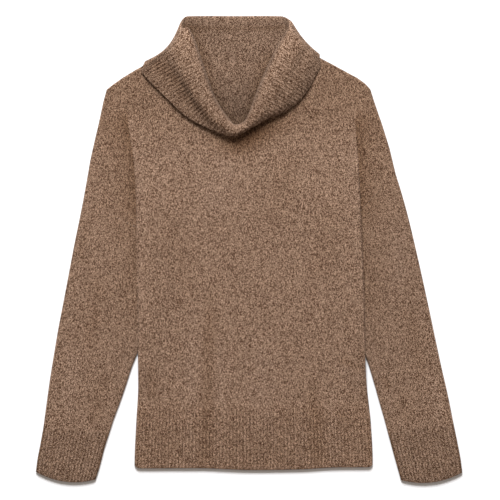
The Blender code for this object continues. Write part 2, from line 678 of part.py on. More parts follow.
def build_front():
    plan, near_edge, cells, drop, first_upper = panel_plan("front")
    x, y = plan[..., 0], plan[..., 1]
    under, upper = front_heights(x, y, zone_of(plan, drop), near_edge)
    for row in range(first_upper + 1, len(plan)):
        for k, inset in enumerate(EDGE_INSETS[EDGE_INSETS <= EDGE_REACH]):
            for c in (drop + k, plan.shape[1] - 1 - drop - k):
                step = side_fold(x[row, c], y[row, c]) + sleeve_lift(x[row, c], y[row, c])
                upper[row, c] -= rounding(inset) * min(1.0, step / SLEEVE_HEIGHT)
    under_plan = shifted_in(plan, drop, first_upper, (1.2, 2.4, 2.8, 2.6))
    wall("front", with_height(plan, upper), with_height(under_plan, under), cells)


def hem_plan(across, rows):
    """The hem band in plan: rows from its lower edge up to the hem seam."""
    left, right = body_edge(HEM_SEAM_Y)
    bottom = smooth(left + (right - left) * across, HEM_EDGE["x"], HEM_EDGE["y"])
    y = HEM_SEAM_Y - SEAM_GAP / 2 + (bottom - HEM_SEAM_Y)[None] * rows[:, None]
    row_left, row_right = body_edge(y)
    return np.stack([row_left + (row_right - row_left) * across[None], y], axis=2)[::-1]


def ribs_over(count):
    """Heights over a ribbed side: a rib's line at every second column and valleys between."""
    return np.where(np.arange(count) % 2 == 1, 0.5, -0.5) * RIB_DEPTH


def build_hem_front():
    """The front hem band, with a raised line for each rib."""
    plan = hem_plan(np.linspace(0.0, 1.0, 2 * HEM_RIBS + 1), HEM_ROWS)
    x, y = plan[..., 0], plan[..., 1]
    near_edge = np.minimum(*inset_from_sides(x, y))
    under, upper = front_heights(x, y, np.zeros(x.shape, bool), near_edge)
    raised = ribs_over(x.shape[1])[None] * ease(0.0, 8.0, near_edge)
    raised[0] *= LIP_RIB_SHARE
    lip = np.zeros(x.shape)
    lip[0] = EDGE_ROUND * 0.5 * ease(-2.0, 5.0, near_edge[0])
    inside = with_height(plan, under)[:, ::2]
    wall("hem_front", with_height(plan, upper + raised - lip), inside, inside_step=2)


def build_hem_back():
    left, right = body_edge(HEM_SEAM_Y)
    close = EDGE_INSETS[EDGE_INSETS <= EDGE_REACH] / (right - left)
    middle = np.linspace(0.05, 0.95, HEM_BACK_COLUMNS)
    plan = hem_plan(np.concatenate([close, middle, 1.0 - close[::-1]]), HEM_ROWS)
    x, y = plan[..., 0], plan[..., 1]
    near_edge = np.minimum(*inset_from_sides(x, y))
    upper = back_top(x, y, np.zeros(x.shape, bool))
    under = upper - WALL + rounding(near_edge) * UNDER_ROUNDING
    wall("hem_back", with_height(plan, upper), with_height(plan, under))


def tube_row(row, top_count, ribs):
    """One ring of a flattened tube: its outer and inner points, over the top and back underneath."""
    outer = np.array([row["outer_x"], row["outer_y"]])
    run = np.array([row["inner_x"], row["inner_y"]]) - outer
    width = np.linalg.norm(run)
    down = np.array([run[1], -run[0]]) / width
    if down[1] > 0:
        down = -down
    inset = EDGE_REACH / width
    near = TUBE_NEAR_SHARE * inset
    middle = np.linspace(inset, 1.0 - inset, top_count)
    share = np.concatenate([[0.0, near], middle, [1.0 - near, 1.0]])
    puff = row["fullness"] * np.sin(np.pi * np.clip(share / row["shown"], 0.0, 1.0))
    rise = np.concatenate([[0.5, 1.0 - TUBE_NEAR_RISE], np.ones(top_count), [1.0 - TUBE_NEAR_RISE, 0.5]])
    top = SLEEVE_HEIGHT * rise + puff
    if ribs:
        wave = ribs_over(top_count)
        wave[0] = wave[-1] = 0.0
        top[2:-2] += wave
    under_middle = np.linspace(1.0 - inset, inset, TUBE_UNDER_COLUMNS)
    under_share = np.concatenate([[1.0 - near], under_middle, [near]])
    under = np.zeros(len(under_share))
    under[[0, -1]] = SLEEVE_HEIGHT * TUBE_NEAR_RISE
    all_share = np.concatenate([share, under_share])

    def plan_at(shares):
        arch = 4.0 * shares * (1.0 - shares) * row["bow"]
        return outer + shares[:, None] * run + arch[:, None] * down

    outside = np.column_stack([plan_at(all_share), np.concatenate([top, under])])
    pull = (WALL + TUBE_SIDE_ROOM) / width
    inner_top = WALL + LAYER_GAP * rise + puff
    inner_height = np.concatenate([inner_top, np.full(len(under), WALL)])
    inside = np.column_stack([plan_at(pull + all_share * (1.0 - 2.0 * pull)), inner_height])
    return outside, inside


def tube(name, table, top_count, ribs):
    """A flattened tube through its rows, with its upper end drawn back for the seam."""
    rows = [{key: values[k] for key, values in table.items()} for k in range(len(table["outer_x"]))]
    if ribs:
        before = {key: 0.12 * rows[-2][key] + 0.88 * rows[-1][key] for key in table}
        rows.insert(-1, before)
    for side in ("outer", "inner"):
        x, y = side + "_x", side + "_y"
        start = np.array([rows[1][x] - rows[0][x], rows[1][y] - rows[0][y]])
        start *= SEAM_GAP / np.linalg.norm(start)
        rows[0][x] += start[0]
        rows[0][y] += start[1]
    rings = [tube_row(row, top_count, ribs) for row in rows]
    outside = np.array([ring[0] for ring in rings])
    inside = np.array([ring[1] for ring in rings])
    if ribs:
        outside[-1, 2 : 2 + top_count, 2] -= CUFF_LIP
        outside[0, 2 : 2 + top_count, 2] = inside[0, 2 : 2 + top_count, 2] + WALL
    wall(name, outside, inside, closed=True)


def build_collar():
    """The folded collar: an inner layer up from the neck seam, the rolled rim and the outer layer."""
    places, front_columns = collar_places()
    middle = collar_middle(places)
    normal = normals_of(middle)
    first_outer = len(COLLAR_INNER_STEPS) + len(COLLAR_ROLL_STEPS) - 1
    if normal[first_outer, front_columns // 2, 2] < 0:
        normal = -normal
    turn = collar_state(places)["turn"][:, 0]
    thin = 1.0 - FOLD_THINNING * np.cos(np.radians(turn)) ** 2
    rows = np.arange(len(middle))
    inner = 1.0 - ease(first_outer - 2.0, first_outer + 1.0, rows)
    half = WALL / 2 * (1.0 - inner[:, None] * (1.0 - thin[None]))[..., None]
    outside = middle + normal * half
    inside = middle - normal * half
    at = np.arange(len(places))
    ends = ease(0.0, 5.0, at) * (1.0 - ease(front_columns - 6.0, front_columns - 1.0, at))
    down = ease(first_outer - 2.0, first_outer, rows)
    outside += normal * (ribs_over(len(places)) * ends)[None, :, None] * down[:, None, None]
    wall("collar", outside, inside[:, ::2], closed=True, inside_step=2)


def main():
    for old in list(bpy.data.objects):
        bpy.data.objects.remove(old)
    build_back()
    build_front()
    build_hem_back()
    build_hem_front()
    for side in ("left", "right"):
        tube("sleeve_" + side, SLEEVES[side], SLEEVE_TOP_COLUMNS, False)
        tube("cuff_" + side, CUFFS[side], 2 * CUFF_RIBS + 1, True)
    build_collar()


main()
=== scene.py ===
"""A cowl neck sweater lying face up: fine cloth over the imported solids, with ribs, creases and yarn.

Sizes are in millimetres until a mesh is made. X is the picture's right, Y runs towards the collar
and Z is up from the surface that the sweater lies on. Left and right are the picture's.
"""

import bpy
import numpy as np
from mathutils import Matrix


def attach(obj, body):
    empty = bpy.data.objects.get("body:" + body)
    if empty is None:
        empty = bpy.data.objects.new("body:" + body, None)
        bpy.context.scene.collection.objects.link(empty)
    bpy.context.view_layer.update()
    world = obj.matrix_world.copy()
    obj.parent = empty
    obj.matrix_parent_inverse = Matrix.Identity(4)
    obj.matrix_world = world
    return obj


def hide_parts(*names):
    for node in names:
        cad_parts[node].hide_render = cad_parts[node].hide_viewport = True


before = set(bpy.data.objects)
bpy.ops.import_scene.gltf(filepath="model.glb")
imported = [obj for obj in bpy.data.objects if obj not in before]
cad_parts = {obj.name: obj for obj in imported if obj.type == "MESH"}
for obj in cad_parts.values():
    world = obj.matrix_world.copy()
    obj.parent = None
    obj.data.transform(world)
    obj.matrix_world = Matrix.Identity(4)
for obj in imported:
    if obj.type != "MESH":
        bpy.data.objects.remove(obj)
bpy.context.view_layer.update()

MM = 0.001


def columns(names, rows):
    """A table as a dictionary with one array for each named column."""
    return dict(zip(names.split(), np.array(rows, float).T))


# Cloth and seams
WALL = 2.4
SEAM_GAP = 0.3
NECK_GAPS = {"front": 0.9, "back": 0.15}
CLOSE_SEAM_GAP = 0.03
LAYER_GAP = 0.6
EDGE_ROUND = 1.6
EDGE_REACH = 3.0
UNDERSIDE_ROUNDING = 0.8
LIP_REACH = 1.4
LIP_STEPS = np.array([LIP_REACH, 0.9, 0.5, 0.25, 0.08, 0.0])
LIP_END = 0.97
FAR = 99.0
DISTANCE_PARTS = 16
SHARP_ANGLE = np.radians(60.0)
SLEEVE_HEIGHT = 2 * WALL + LAYER_GAP

# Heights along the body
HEM_SEAM_Y = -233.0
CROTCH_Y = -166.0
LEFT_ARMHOLE_Y = 35.1
RIGHT_ARMHOLE_Y = 61.6

# The body over the sleeves: how much of a sleeve it hides, and the slope from there to the middle
HIDDEN_SLEEVE_Y = (CROTCH_Y, 20.0)
HIDDEN_SLEEVE = (2.0, 34.0)
SLEEVE_LIFT_Y = (HEM_SEAM_Y, CROTCH_Y, RIGHT_ARMHOLE_Y + 8.0, RIGHT_ARMHOLE_Y + 60.0)
SLOPE_START = 7.0
SLOPE_RUN = 40.0

# The step along the body's folded sides above the armholes, and how far each inset of it is moved in
FOLD_START_Y = 194.0
FOLD_FULL_Y = 80.0
FOLD_END_Y = 30.0
FOLD_INSET = (4.0, 60.0)
STEP_RUN = 30.0
STEP_INSETS = (0.0, 0.8, 3.0, 12.0)
BACK_STEP = (1.6, 2.9, 3.4, 3.6, 0.0)
FRONT_STEP = (1.2, 2.4, 2.8, 2.6, 0.0)
ON_EDGE = 0.01

# The small loft of the front over the back
FULLNESS = 2.4
FULLNESS_INSET = (3.0, 120.0)
FULLNESS_Y = (-342.0, -260.0, 90.0, 165.0)

# The collar's back layer lies under the back panel and lifts it
NECK_MIDDLE_X = -20.0
BACK_ROLL = 1.8
NECK_LIFT = 2 * BACK_ROLL
NECK_LIFT_X = (-212.0, -169.0, 112.0, 164.0)
NECK_LIFT_Y = (205.0, 266.0)

# Ribbing
HEM_RIBS = 70
CUFF_RIBS = 18
RIB_DEPTH = 0.9
RIB_ROUNDNESS = 0.7
RIB_SIDE = 0.25
RIB_INSET = (0.0, 5.0)
HEM_RIB_INSET = (0.0, 8.0)
HEM_RIB_START = (0.0, 26.0)
CUFF_STEP = 0.15
CUFF_STEP_REACH = 2.5
COLLAR_RIB_PITCH = 5.6
COLLAR_BACK_RIB_DEPTH = 0.35

# The body's side edges, where it lies over the sleeves
BODY_EDGE = columns("y left_x right_x", (
    (-345, -177.4, 191.4),
    (-326, -177.2, 191.4),
    (-270, -174.8, 188.7),
    (-205, -171.4, 182),
    (-160, -171.8, 179.8),
    (-80, -172.4, 178.4),
    (0, -173.4, 175.4),
    (60, -174, 173),
    (108, -175.9, 170.5),
    (140, -178.3, 168.8),
    (170, -183, 166.3),
    (194, -187, 165),
    (268, -193, 166),
))

# The lower edge of the hem band
HEM_EDGE = columns("x y", (
    (-177, -336.5),
    (-161, -338.4),
    (-77, -338.1),
    (6, -341),
    (76, -339.9),
    (132, -336.8),
    (191, -336.5),
))

# The outer edge of each dropped shoulder, from the armhole seam up to the shoulder's corner
SHOULDER_SIDES = {
    "left": (
        (-257, 76),
        (-252.2, 102.3),
        (-245.8, 139.5),
        (-239.7, 167),
        (-233, 195.3),
        (-225.6, 230),
        (-220.5, 248.5),
    ),
    "right": (
        (226.8, 119.4),
        (217.6, 158.1),
        (206, 195.3),
        (199.5, 213.9),
        (193.4, 232),
        (188, 249),
    ),
}
SHOULDER_CROWNS = {"left": (-209.0, 257.5), "right": (180.0, 257.8)}

# The sleeves, as rows across the tube from the armhole to the cuff seam, then across the cuff
SLEEVE_COLUMNS = "outer_x outer_y inner_x inner_y shown fullness bow"
SLEEVES = {
    "left": columns(SLEEVE_COLUMNS, (
        (-257, 76, -141.1, 18.6, 0.71, 0, 0),
        (-263.5, 43.4, -144.9, -18.6, 0.75, 1, 0),
        (-270.5, 9.3, -151.1, -58.9, 0.80, 1.6, 0),
        (-278.7, -34.1, -159.7, -105.4, 0.88, 2, 0),
        (-287.5, -80.6, -169.7, -150.4, 0.95, 2.2, 0),
        (-295.3, -120.9, -180.6, -178.3, 1, 2.2, 0),
        (-302.1, -161.2, -189.9, -206.9, 1, 2, 0),
        (-308.1, -198.4, -200, -236.4, 1, 1.8, 0),
        (-313.3, -235.6, -209.3, -261.2, 1, 1.6, 0),
        (-318.7, -275.9, -216.5, -283.7, 1, 1.2, 0),
    )),
    "right": columns(SLEEVE_COLUMNS, (
        (226.8, 119.4, 145.7, 31, 0.62, 0, 0),
        (236.4, 88.4, 149.6, -9.3, 0.70, 1, 0),
        (245.8, 54.3, 155, -51.2, 0.76, 1.6, 0),
        (257, 7.8, 162.8, -99.2, 0.84, 2, 0),
        (268.2, -41.9, 173.6, -144.2, 0.93, 2.2, 0),
        (279, -91.5, 185, -177.5, 1, 2.2, 0),
        (289.1, -139.5, 194.1, -207.7, 1, 2, 0),
        (298.1, -181.4, 202, -235.6, 1, 1.8, 0),
        (307.7, -223.2, 209.1, -260.4, 1, 1.6, 0),
        (317, -269.7, 215.3, -283.7, 1, 1.2, 0),
    )),
}
CUFFS = {
    "left": columns(SLEEVE_COLUMNS, (
        (-318.7, -275.9, -216.5, -283.7, 1, 1.2, 0),
        (-323.2, -300.7, -223.5, -305.4, 1, 1.1, 2),
        (-327.7, -324, -230, -330.6, 1, 0.9, 6),
        (-330.2, -343.5, -237.5, -355.4, 1, 0.4, 9.5),
    )),
    "right": columns(SLEEVE_COLUMNS, (
        (317, -269.7, 215.3, -283.7, 1, 1.2, 0),
        (323, -298.7, 221.2, -305.4, 1, 1.1, 2),
        (327.8, -324, 228.2, -330.8, 1, 0.9, 6),
        (330.4, -344.6, 235.4, -356.4, 1, 0.4, 9.5),
    )),
}

# The collar, as sections round the neck from the middle of the back by the right shoulder.
# turn is -90 where the outer layer lies under the inner one, 90 where it lies on top. Half of the
# fold's height is roll, its highest line is crest in from the rim, top is the outer layer's height
# there, and z30 to z100 its height that far (in %) to its edge. seam is the neck seam's share of
# the way from the rim to the edge, bow bends a section sideways and tuck draws its edge in.
COLLAR = columns("rim_x rim_y edge_x edge_y turn roll crest top z30 z50 z70 z88 z100 seam bow tuck", (
    (-20, 361.2, -20, 276, -90, 1.8, 1.8, 1.2, 1.2, 1.2, 1.2, 1.2, 1.2, 0.82, 0, 0),
    (22, 361.4, 27, 278, -90, 1.8, 1.8, 1.2, 1.2, 1.2, 1.2, 1.2, 1.2, 0.81, 0, 0),
    (49, 361, 71, 285, -90, 1.8, 1.8, 1.2, 1.2, 1.2, 1.2, 1.2, 1.2, 0.72, -1, 0),
    (61.5, 357, 106.5, 298.6, -50, 2.3, 2.3, 1.3, 1.3, 1.3, 1.3, 1.3, 1.3, 0.52, -3, 0),
    (65, 352.5, 109.5, 301.6, 0, 2, 2, 6.2, 6.2, 6.2, 6.2, 6.2, 6.2, 0.48, -3.5, 0),
    (63.5, 346.5, 109.5, 296, 50, 2.3, 2.3, 12.4, 12, 11.6, 11, 10.7, 10.4, 0.46, -2, 0),
    (60, 340, 110.5, 285.2, 90, 5, 8, 17.6, 17.8, 16, 14.8, 12, 10.4, 0.45, 0, 0),
    (48.1, 320.9, 103.9, 271.2, 90, 8, 12, 23.6, 22.5, 18.5, 18, 13.8, 10.4, 0.45, 0, 0),
    (34.1, 294.5, 94.5, 252.7, 90, 10, 14, 27.6, 25.5, 21, 19.5, 15, 10.4, 0.45, 0, 0),
    (20.2, 263.5, 78.3, 231.7, 90, 10, 13, 27.6, 25.5, 21.5, 19, 14.8, 10.4, 0.45, 0, 0),
    (9.3, 235.6, 52.7, 212.8, 90, 9, 11, 25.6, 24.5, 21.5, 18.5, 14.5, 10.4, 0.45, 0, 0),
    (0.8, 212.3, 26.4, 200.7, 90, 7.5, 8.5, 22.6, 22, 20.2, 17.2, 14, 10.4, 0.50, 0, 1.5),
    (-7.8, 197.6, 6, 190, 90, 6, 6, 19.6, 19.3, 18.4, 16.4, 14, 10.4, 0.55, 0, 2),
    (-21, 193, -26.4, 175.2, 90, 6.5, 6.5, 20.6, 20.3, 19.5, 17.6, 14.8, 10.4, 0.55, 0, 3),
    (-38, 211, -62, 186, 90, 8.5, 9, 24.6, 24, 20.5, 15.5, 12.5, 10.4, 0.50, 0, 2),
    (-54, 237.8, -94.5, 204.6, 90, 10, 11, 27.6, 25.5, 17, 12.5, 11.4, 10.4, 0.45, 0, 0),
    (-66, 270.5, -130.2, 237.2, 90, 10.5, 11.5, 28.6, 25, 15.2, 11.8, 11.5, 11.2, 0.45, 0, 0),
    (-76.5, 301.2, -155, 261.9, 90, 10, 11.5, 27.6, 23.5, 14.4, 11.8, 13.2, 12.8, 0.45, 0, 0),
    (-85.5, 326.6, -165.1, 274.4, 90, 8, 10, 23.6, 20.5, 13.8, 11.8, 13.4, 13.2, 0.45, 0, 0),
    (-95.5, 343, -166.5, 279.6, 90, 4.5, 6, 16.6, 15.4, 12.8, 11.4, 12.4, 12, 0.45, -5, 0),
    (-103, 342.5, -162.5, 288, 50, 2.3, 2.3, 12.4, 12, 11.6, 11, 10.7, 10.4, 0.46, -8.5, 0),
    (-105.5, 347.5, -161, 291, 0, 2, 2, 6.2, 6.2, 6.2, 6.2, 6.2, 6.2, 0.48, -9, 0),
    (-104, 354, -158, 288.5, -50, 2.3, 2.3, 1.3, 1.3, 1.3, 1.3, 1.3, 1.3, 0.52, -9, 0),
    (-95, 361, -138, 283, -90, 1.8, 1.8, 1.2, 1.2, 1.2, 1.2, 1.2, 1.2, 0.72, -4, 0),
    (-62, 361.4, -74, 279, -90, 1.8, 1.8, 1.2, 1.2, 1.2, 1.2, 1.2, 1.2, 0.80, 0, 0),
))
COLLAR_NECK_POINTS = {"right": 4, "left": 21}
COLLAR_FALL = ("top", "top", "z30", "z50", "z70", "z88", "z100")
COLLAR_FALL_KNOTS = (-0.1, 0.0, 0.3, 0.5, 0.7, 0.88, 1.0)
FOLD_THINNING = 0.45
TUCKED_TURN = 2.3
TUCK_START = 0.88
COLLAR_FRONT = 13.0
COLLAR_MIDDLE_SHARES = (0.45, 0.55)
COLLAR_SAMPLES = 4001
TURN_SPREAD = 3.0
TURNED_OVER = (-40.0, 60.0)
TURNED_UNDER = (-80.0, -20.0)
# How much of the ribs shows at rows from the rim
COLLAR_RIBS_SHOWN = ((0.0, 7.0, 14.0), (0.45, 0.6, 0.7))
# The long hollow of the collar's left side: its ends, its middle row at three places and its width
HOLLOW_ENDS = (13.5, 15.0, 18.6, 19.8)
HOLLOW_MIDDLE = ((14.0, 16.5, 19.0), (14.0, 19.0, 27.0))
HOLLOW_REACH = 5.5
HOLLOW_RIBS = 0.6
HOLLOW_RIB_SHADE = 0.5

# The shoulder seams, from the body's edge line to the collar
SHOULDER_STARTS = {
    "left": ((-193.0, 268.3), (-178.0, 277.5)),
    "right": ((166.0, 267.5), (128.0, 288.0)),
}
SHOULDER_SHARE = 0.74
SHOULDER_TUCK = 3.8
NECK_POINT_REACH = 12.0
NECK_POINT_DROP = 9.0
NECK_POINT_GAP = 8.0
NECK_PLACES = {"front": np.linspace(20.0, 5.0, 400), "back": np.linspace(22.0, 28.0, 400)}
SHOULDER_FOOT = 0.5
SHOULDER_HEIGHT = 170.0
SHOULDER_BEND = 4

# Soft light that hollows lose: beside the body's sides, under the collar, in the creases, in the
# valleys of the ribs and inside the neck. The rim gains a little, and the shade is warm.
SIDE_SHADE = 0.36
SIDE_LIGHT = 0.04
SIDE_SHADE_REACH = 22.0
SIDE_SHADE_Y = (-170.0, -60.0, 190.0, 225.0)
SIDE_SHADE_LEAST = 0.45
SIDE_SHADE_FULL_Y = (20.0, 80.0)
SIDE_STEP = 0.6
SHOULDER_SHADE = 0.12
SHOULDER_SHADE_Y = (130.0, 250.0)
UNDER_COLLAR_SHADE = 0.6
UNDER_COLLAR_PLACES = np.linspace(9.0, 17.0, 90)
UNDER_COLLAR_SHIFT = np.array([4.0, -8.0])
UNDER_COLLAR_X = 2.0
UNDER_COLLAR_WIDTH = 48.0
UNDER_COLLAR_REACH = 19.0
CREASE_SHADE = 0.14
VALLEY_SHADE = 0.14
SHADE_WARMTH_GREEN = 0.25
SHADE_WARMTH_BLUE = 0.6
RIM_LIGHT = 0.04
RIM_LIGHT_REACH = 3.0
NECK_RIM_PLACES = np.linspace(8.0, 19.0, 120)
NECK_SIDE_SHADE = 0.24
NECK_SIDE_REACH = 12.0
NECK_LINE_SHADE = 0.26
NECK_LINE_Y = 344.5
NECK_LINE_REACH = 2.6
RIB_SHADE = 0.34

# How finely each piece is divided. Collar rows are counted from the rim in the last two.
EDGE_INSETS = np.concatenate([[0.0, 0.4, 0.8, 1.4, 2.1, 3.0, 4.5, 6.5], np.arange(9.0, 55.0, 3.0)])
MIDDLE_SHARES = np.linspace(0.0, 1.0, 83)[1:-1]
SIDE_COLUMNS = 24
SIDE_SHARES = np.append(0.0, 1.0 - np.cos(np.linspace(0.12, 1.0, SIDE_COLUMNS - 1) * np.pi / 2))
LOWER_SHARES = np.linspace(0.0, 1.0, 86)
UPPER_SHARES = np.append(np.linspace(0.0, 0.975, 72), (0.982, 0.988, 0.992, 0.996, 1.0))
HEM_RIB_STEPS = 8
HEM_BACK_STEPS = 4
HEM_SHARES = np.concatenate([[0.0, 0.01], np.linspace(0.03, 0.985, 30), [0.992, 0.997, 1.0]])
HEM_CORNER = 3.5
CUFF_RIB_STEPS = 8
CUFF_ROWS = 28
CUFF_TOP_COLUMNS = CUFF_RIBS * CUFF_RIB_STEPS + 1
SLEEVE_ROWS = 120
SLEEVE_TOP_COLUMNS = 61
TUBE_UNDER_COLUMNS = 41
TUBE_TURNS = np.linspace(0.0, np.pi / 2, 7)[:-1]
TUBE_SIDE = WALL + 0.3
COLLAR_RIB_STEPS = 8
COLLAR_INNER_ROWS = 12
COLLAR_ROLL_ROWS = 14
COLLAR_OUTER_ROWS = 34
COLLAR_RIM_ROW = COLLAR_INNER_ROWS + COLLAR_ROLL_ROWS - 1
IN_NECK_ROWS = (3.0 - COLLAR_ROLL_ROWS, 9.0 - COLLAR_ROLL_ROWS)
ROLL_ROWS = (1.0 - COLLAR_ROLL_ROWS, 4.0)

# Soft troughs and ridges, as lines between two points. height is below zero for a trough. They fade
# between these shares of their length, and between these distances from an edge.
CREASE_ENDS = (-0.12, 0.25, 0.85, 1.15)
FRONT_CREASE_INSET = (8.0, 40.0)
SLEEVE_CREASE_INSET = (4.0, 18.0)
UNDERSIDE_CREASE_INSET = (6.0, 24.0)
TUBE_UNDERSIDE_CREASE_INSET = (6.0, 18.0)
CREASE_COLUMNS = "from_x from_y to_x to_y half_width height"
FRONT_CREASES = columns(CREASE_COLUMNS, (
    (-60, -60, -68, -338, 10, -0.9),
    (-84, -90, -92, -330, 14, 0.5),
    (-40, -120, -46, -330, 13, 0.45),
    (98, -200, 108, -338, 11, -0.9),
    (80, -240, 84, -335, 9, 0.35),
    (126, -215, 134, -335, 12, 0.45),
    (-152, -175, -150, -232, 8, -0.7),
    (138, -168, 178, -186, 6, -1),
    (132, -178, 172, -198, 8, 0.6),
    (18, -130, 24, -300, 26, 0.5),
    (-128, 60, -96, -70, 18, -0.4),
    (132, 80, 112, -40, 20, -0.4),
    (-30, 150, -60, 60, 24, 0.5),
    (60, 155, 40, 40, 26, -0.4),
))
SLEEVE_CREASES = columns(CREASE_COLUMNS, (
    (-204, 45, -190, 18, 8, -0.9),
    (-232, -40, -246, -150, 12, -0.6),
    (-268, -150, -282, -262, 11, 0.5),
    (-222, -190, -240, -262, 10, -0.6),
    (-250, 60, -266, -20, 7, -0.7),
    (236, 40, 228, -60, 12, 0.5),
    (246, -90, 268, -190, 12, -0.6),
    (206, -195, 216, -215, 7, -1),
    (284, -190, 296, -262, 10, 0.45),
    (236, -220, 246, -266, 9, -0.5),
))
UNDERSIDE_CREASES = columns(CREASE_COLUMNS, (
    (-70, -40, -84, -330, 12, 0.8),
    (60, -120, 74, -335, 12, 0.8),
    (120, 120, 96, -40, 16, 0.6),
    (-120, 150, -100, 20, 16, 0.6),
    (-10, 180, 6, 60, 20, 0.5),
    (-232, -20, -250, -180, 10, 0.7),
    (-262, -180, -282, -320, 9, 0.6),
    (226, 0, 250, -150, 10, 0.7),
    (264, -170, 286, -320, 9, 0.6),
))


def ease(low, high, value):
    """A smooth step from 0 at low to 1 at high."""
    share = np.clip((np.asarray(value, float) - low) / (high - low), 0.0, 1.0)
    return share * share * (3.0 - 2.0 * share)


def between(edges, value):
    """1 between the inner two of four edges, with smooth steps to 0 at the outer two."""
    return ease(edges[0], edges[1], value) * (1.0 - ease(edges[2], edges[3], value))


def bell(distance, reach):
    """A soft hump, 1 at no distance and about a third at its reach."""
    return np.exp(-((distance / reach) ** 2))


def smooth(at, knots, values):
    """A smooth curve through the values that never runs past them."""
    at = np.asarray(at, float)
    knots = np.asarray(knots, float)
    values = np.asarray(values, float)
    wide = (1,) * (values.ndim - 1)
    step = np.diff(knots).reshape(-1, *wide)
    slope = np.diff(values, axis=0) / step
    tangent = np.zeros_like(values)
    before, after = slope[:-1], slope[1:]
    same_way = before * after > 0
    total = np.where(same_way, before + after, 1.0)
    tangent[1:-1] = np.where(same_way, 2.0 * before * after / total, 0.0)
    tangent[0] = slope[0]
    tangent[-1] = slope[-1]
    first = np.clip(np.searchsorted(knots, at, side="right") - 1, 0, len(knots) - 2)
    span = step[first]
    t = ((at - knots[first]).reshape(at.shape + wide)) / span
    t2, t3 = t * t, t * t * t
    return (
        (2 * t3 - 3 * t2 + 1) * values[first]
        + (t3 - 2 * t2 + t) * span * tangent[first]
        + (3 * t2 - 2 * t3) * values[first + 1]
        + (t3 - t2) * span * tangent[first + 1]
    )


def unit(runs):
    """Each run's direction."""
    return runs / np.linalg.norm(runs, axis=-1, keepdims=True)


def run_of(points):
    """The length of a line up to each of its points."""
    return np.append(0.0, np.cumsum(np.linalg.norm(np.diff(points, axis=0), axis=1)))


def along(points, shares):
    """Points at the given shares of a line's length."""
    points = np.asarray(points, float)
    run = run_of(points)
    return np.stack([np.interp(shares * run[-1], run, line) for line in points.T], axis=-1)


def rib_height(ribs):
    """Rounded ribs from 0 in their narrow valleys, at whole counts, to 1 on their crowns."""
    return np.abs(np.sin(np.pi * ribs)) ** RIB_ROUNDNESS


def rib_shade(ribs):
    """The share of soft light over the ribs, which is least in their valleys."""
    return 1.0 - RIB_SHADE * (1.0 - rib_height(ribs))


def rib_profile(ribs, depth):
    """The height of ribs above and below the cloth's own."""
    return depth * (rib_height(ribs) - 0.5)


def body_edge(y):
    """X of the body's left and right edges at this height."""
    left = smooth(y, BODY_EDGE["y"], BODY_EDGE["left_x"])
    right = smooth(y, BODY_EDGE["y"], BODY_EDGE["right_x"])
    return left, right


def inset_from_sides(x, y):
    """How far inside its left and right edges a point of the body lies."""
    left, right = body_edge(y)
    return x - left, right - x


def sleeve_lift(x, y):
    """How far the body is carried up by the sleeves that it lies over."""
    slope = np.interp(y, HIDDEN_SLEEVE_Y, HIDDEN_SLEEVE) + SLOPE_START
    lift = np.zeros_like(np.asarray(x, float))
    for inset in inset_from_sides(x, y):
        lift = np.maximum(lift, 1.0 - ease(slope, slope + SLOPE_RUN, inset))
    return (SLEEVE_HEIGHT + SEAM_GAP) * between(SLEEVE_LIFT_Y, y) * lift


def neck_lift(x, y):
    """How far the panels are carried up by the collar's layer under the back."""
    return NECK_LIFT * between(NECK_LIFT_X, x) * ease(*NECK_LIFT_Y, y)


def creases(table, x, y):
    """The height that a table of soft troughs and ridges adds at each point."""
    height = np.zeros_like(np.asarray(x, float))
    for from_x, from_y, to_x, to_y, half_width, crease_height in zip(*table.values()):
        run_x, run_y = to_x - from_x, to_y - from_y
        length = np.hypot(run_x, run_y)
        off_x, off_y = x - from_x, y - from_y
        share = (off_x * run_x + off_y * run_y) / length**2
        away = np.abs(off_x * run_y - off_y * run_x) / length
        height = height + crease_height * between(CREASE_ENDS, share) * bell(away, half_width)
    return height


def beside_body(x, y):
    """The share of soft light beside the body's side edges, where it lies over the sleeves."""
    height = SIDE_SHADE_LEAST + (1.0 - SIDE_SHADE_LEAST) * ease(*SIDE_SHADE_FULL_Y, y)
    strength = between(SIDE_SHADE_Y, y) * height
    light = 1.0 - SHOULDER_SHADE * ease(*SHOULDER_SHADE_Y, y)
    for inset in inset_from_sides(x, y):
        outside = ease(SIDE_STEP, -SIDE_STEP, inset) * np.exp(inset / SIDE_SHADE_REACH)
        inside = ease(-SIDE_STEP, SIDE_STEP, inset) * np.exp(-inset / SIDE_SHADE_REACH)
        light = light + strength * (SIDE_LIGHT * inside - SIDE_SHADE * np.minimum(outside, 1.0))
    return light


def away_from(line, x, y):
    """The distance of each point from a row of points."""
    points = np.stack([x, y], axis=-1).reshape(-1, 1, 2)
    away = np.zeros(len(points))
    for part in np.array_split(np.arange(len(points)), DISTANCE_PARTS):
        away[part] = np.linalg.norm(points[part] - line[None], axis=2).min(axis=1)
    return away.reshape(x.shape)


def inside_neck(x, y):
    """The share of soft light inside the neck, less beside the rim and under the rear roll."""
    rim = collar_lines(NECK_RIM_PLACES)[1]
    beside = NECK_SIDE_SHADE * bell(away_from(rim, x, y), NECK_SIDE_REACH)
    return (1.0 - beside) * (1.0 - NECK_LINE_SHADE * bell(y - NECK_LINE_Y, NECK_LINE_REACH))


def under_collar(x, y):
    """The share of soft light on the front below the collar's free edge."""
    edge = collar_lines(UNDER_COLLAR_PLACES)[2]
    close = bell(away_from(edge + UNDER_COLLAR_SHIFT, x, y), UNDER_COLLAR_REACH)
    return 1.0 - UNDER_COLLAR_SHADE * bell(x - UNDER_COLLAR_X, UNDER_COLLAR_WIDTH) * close


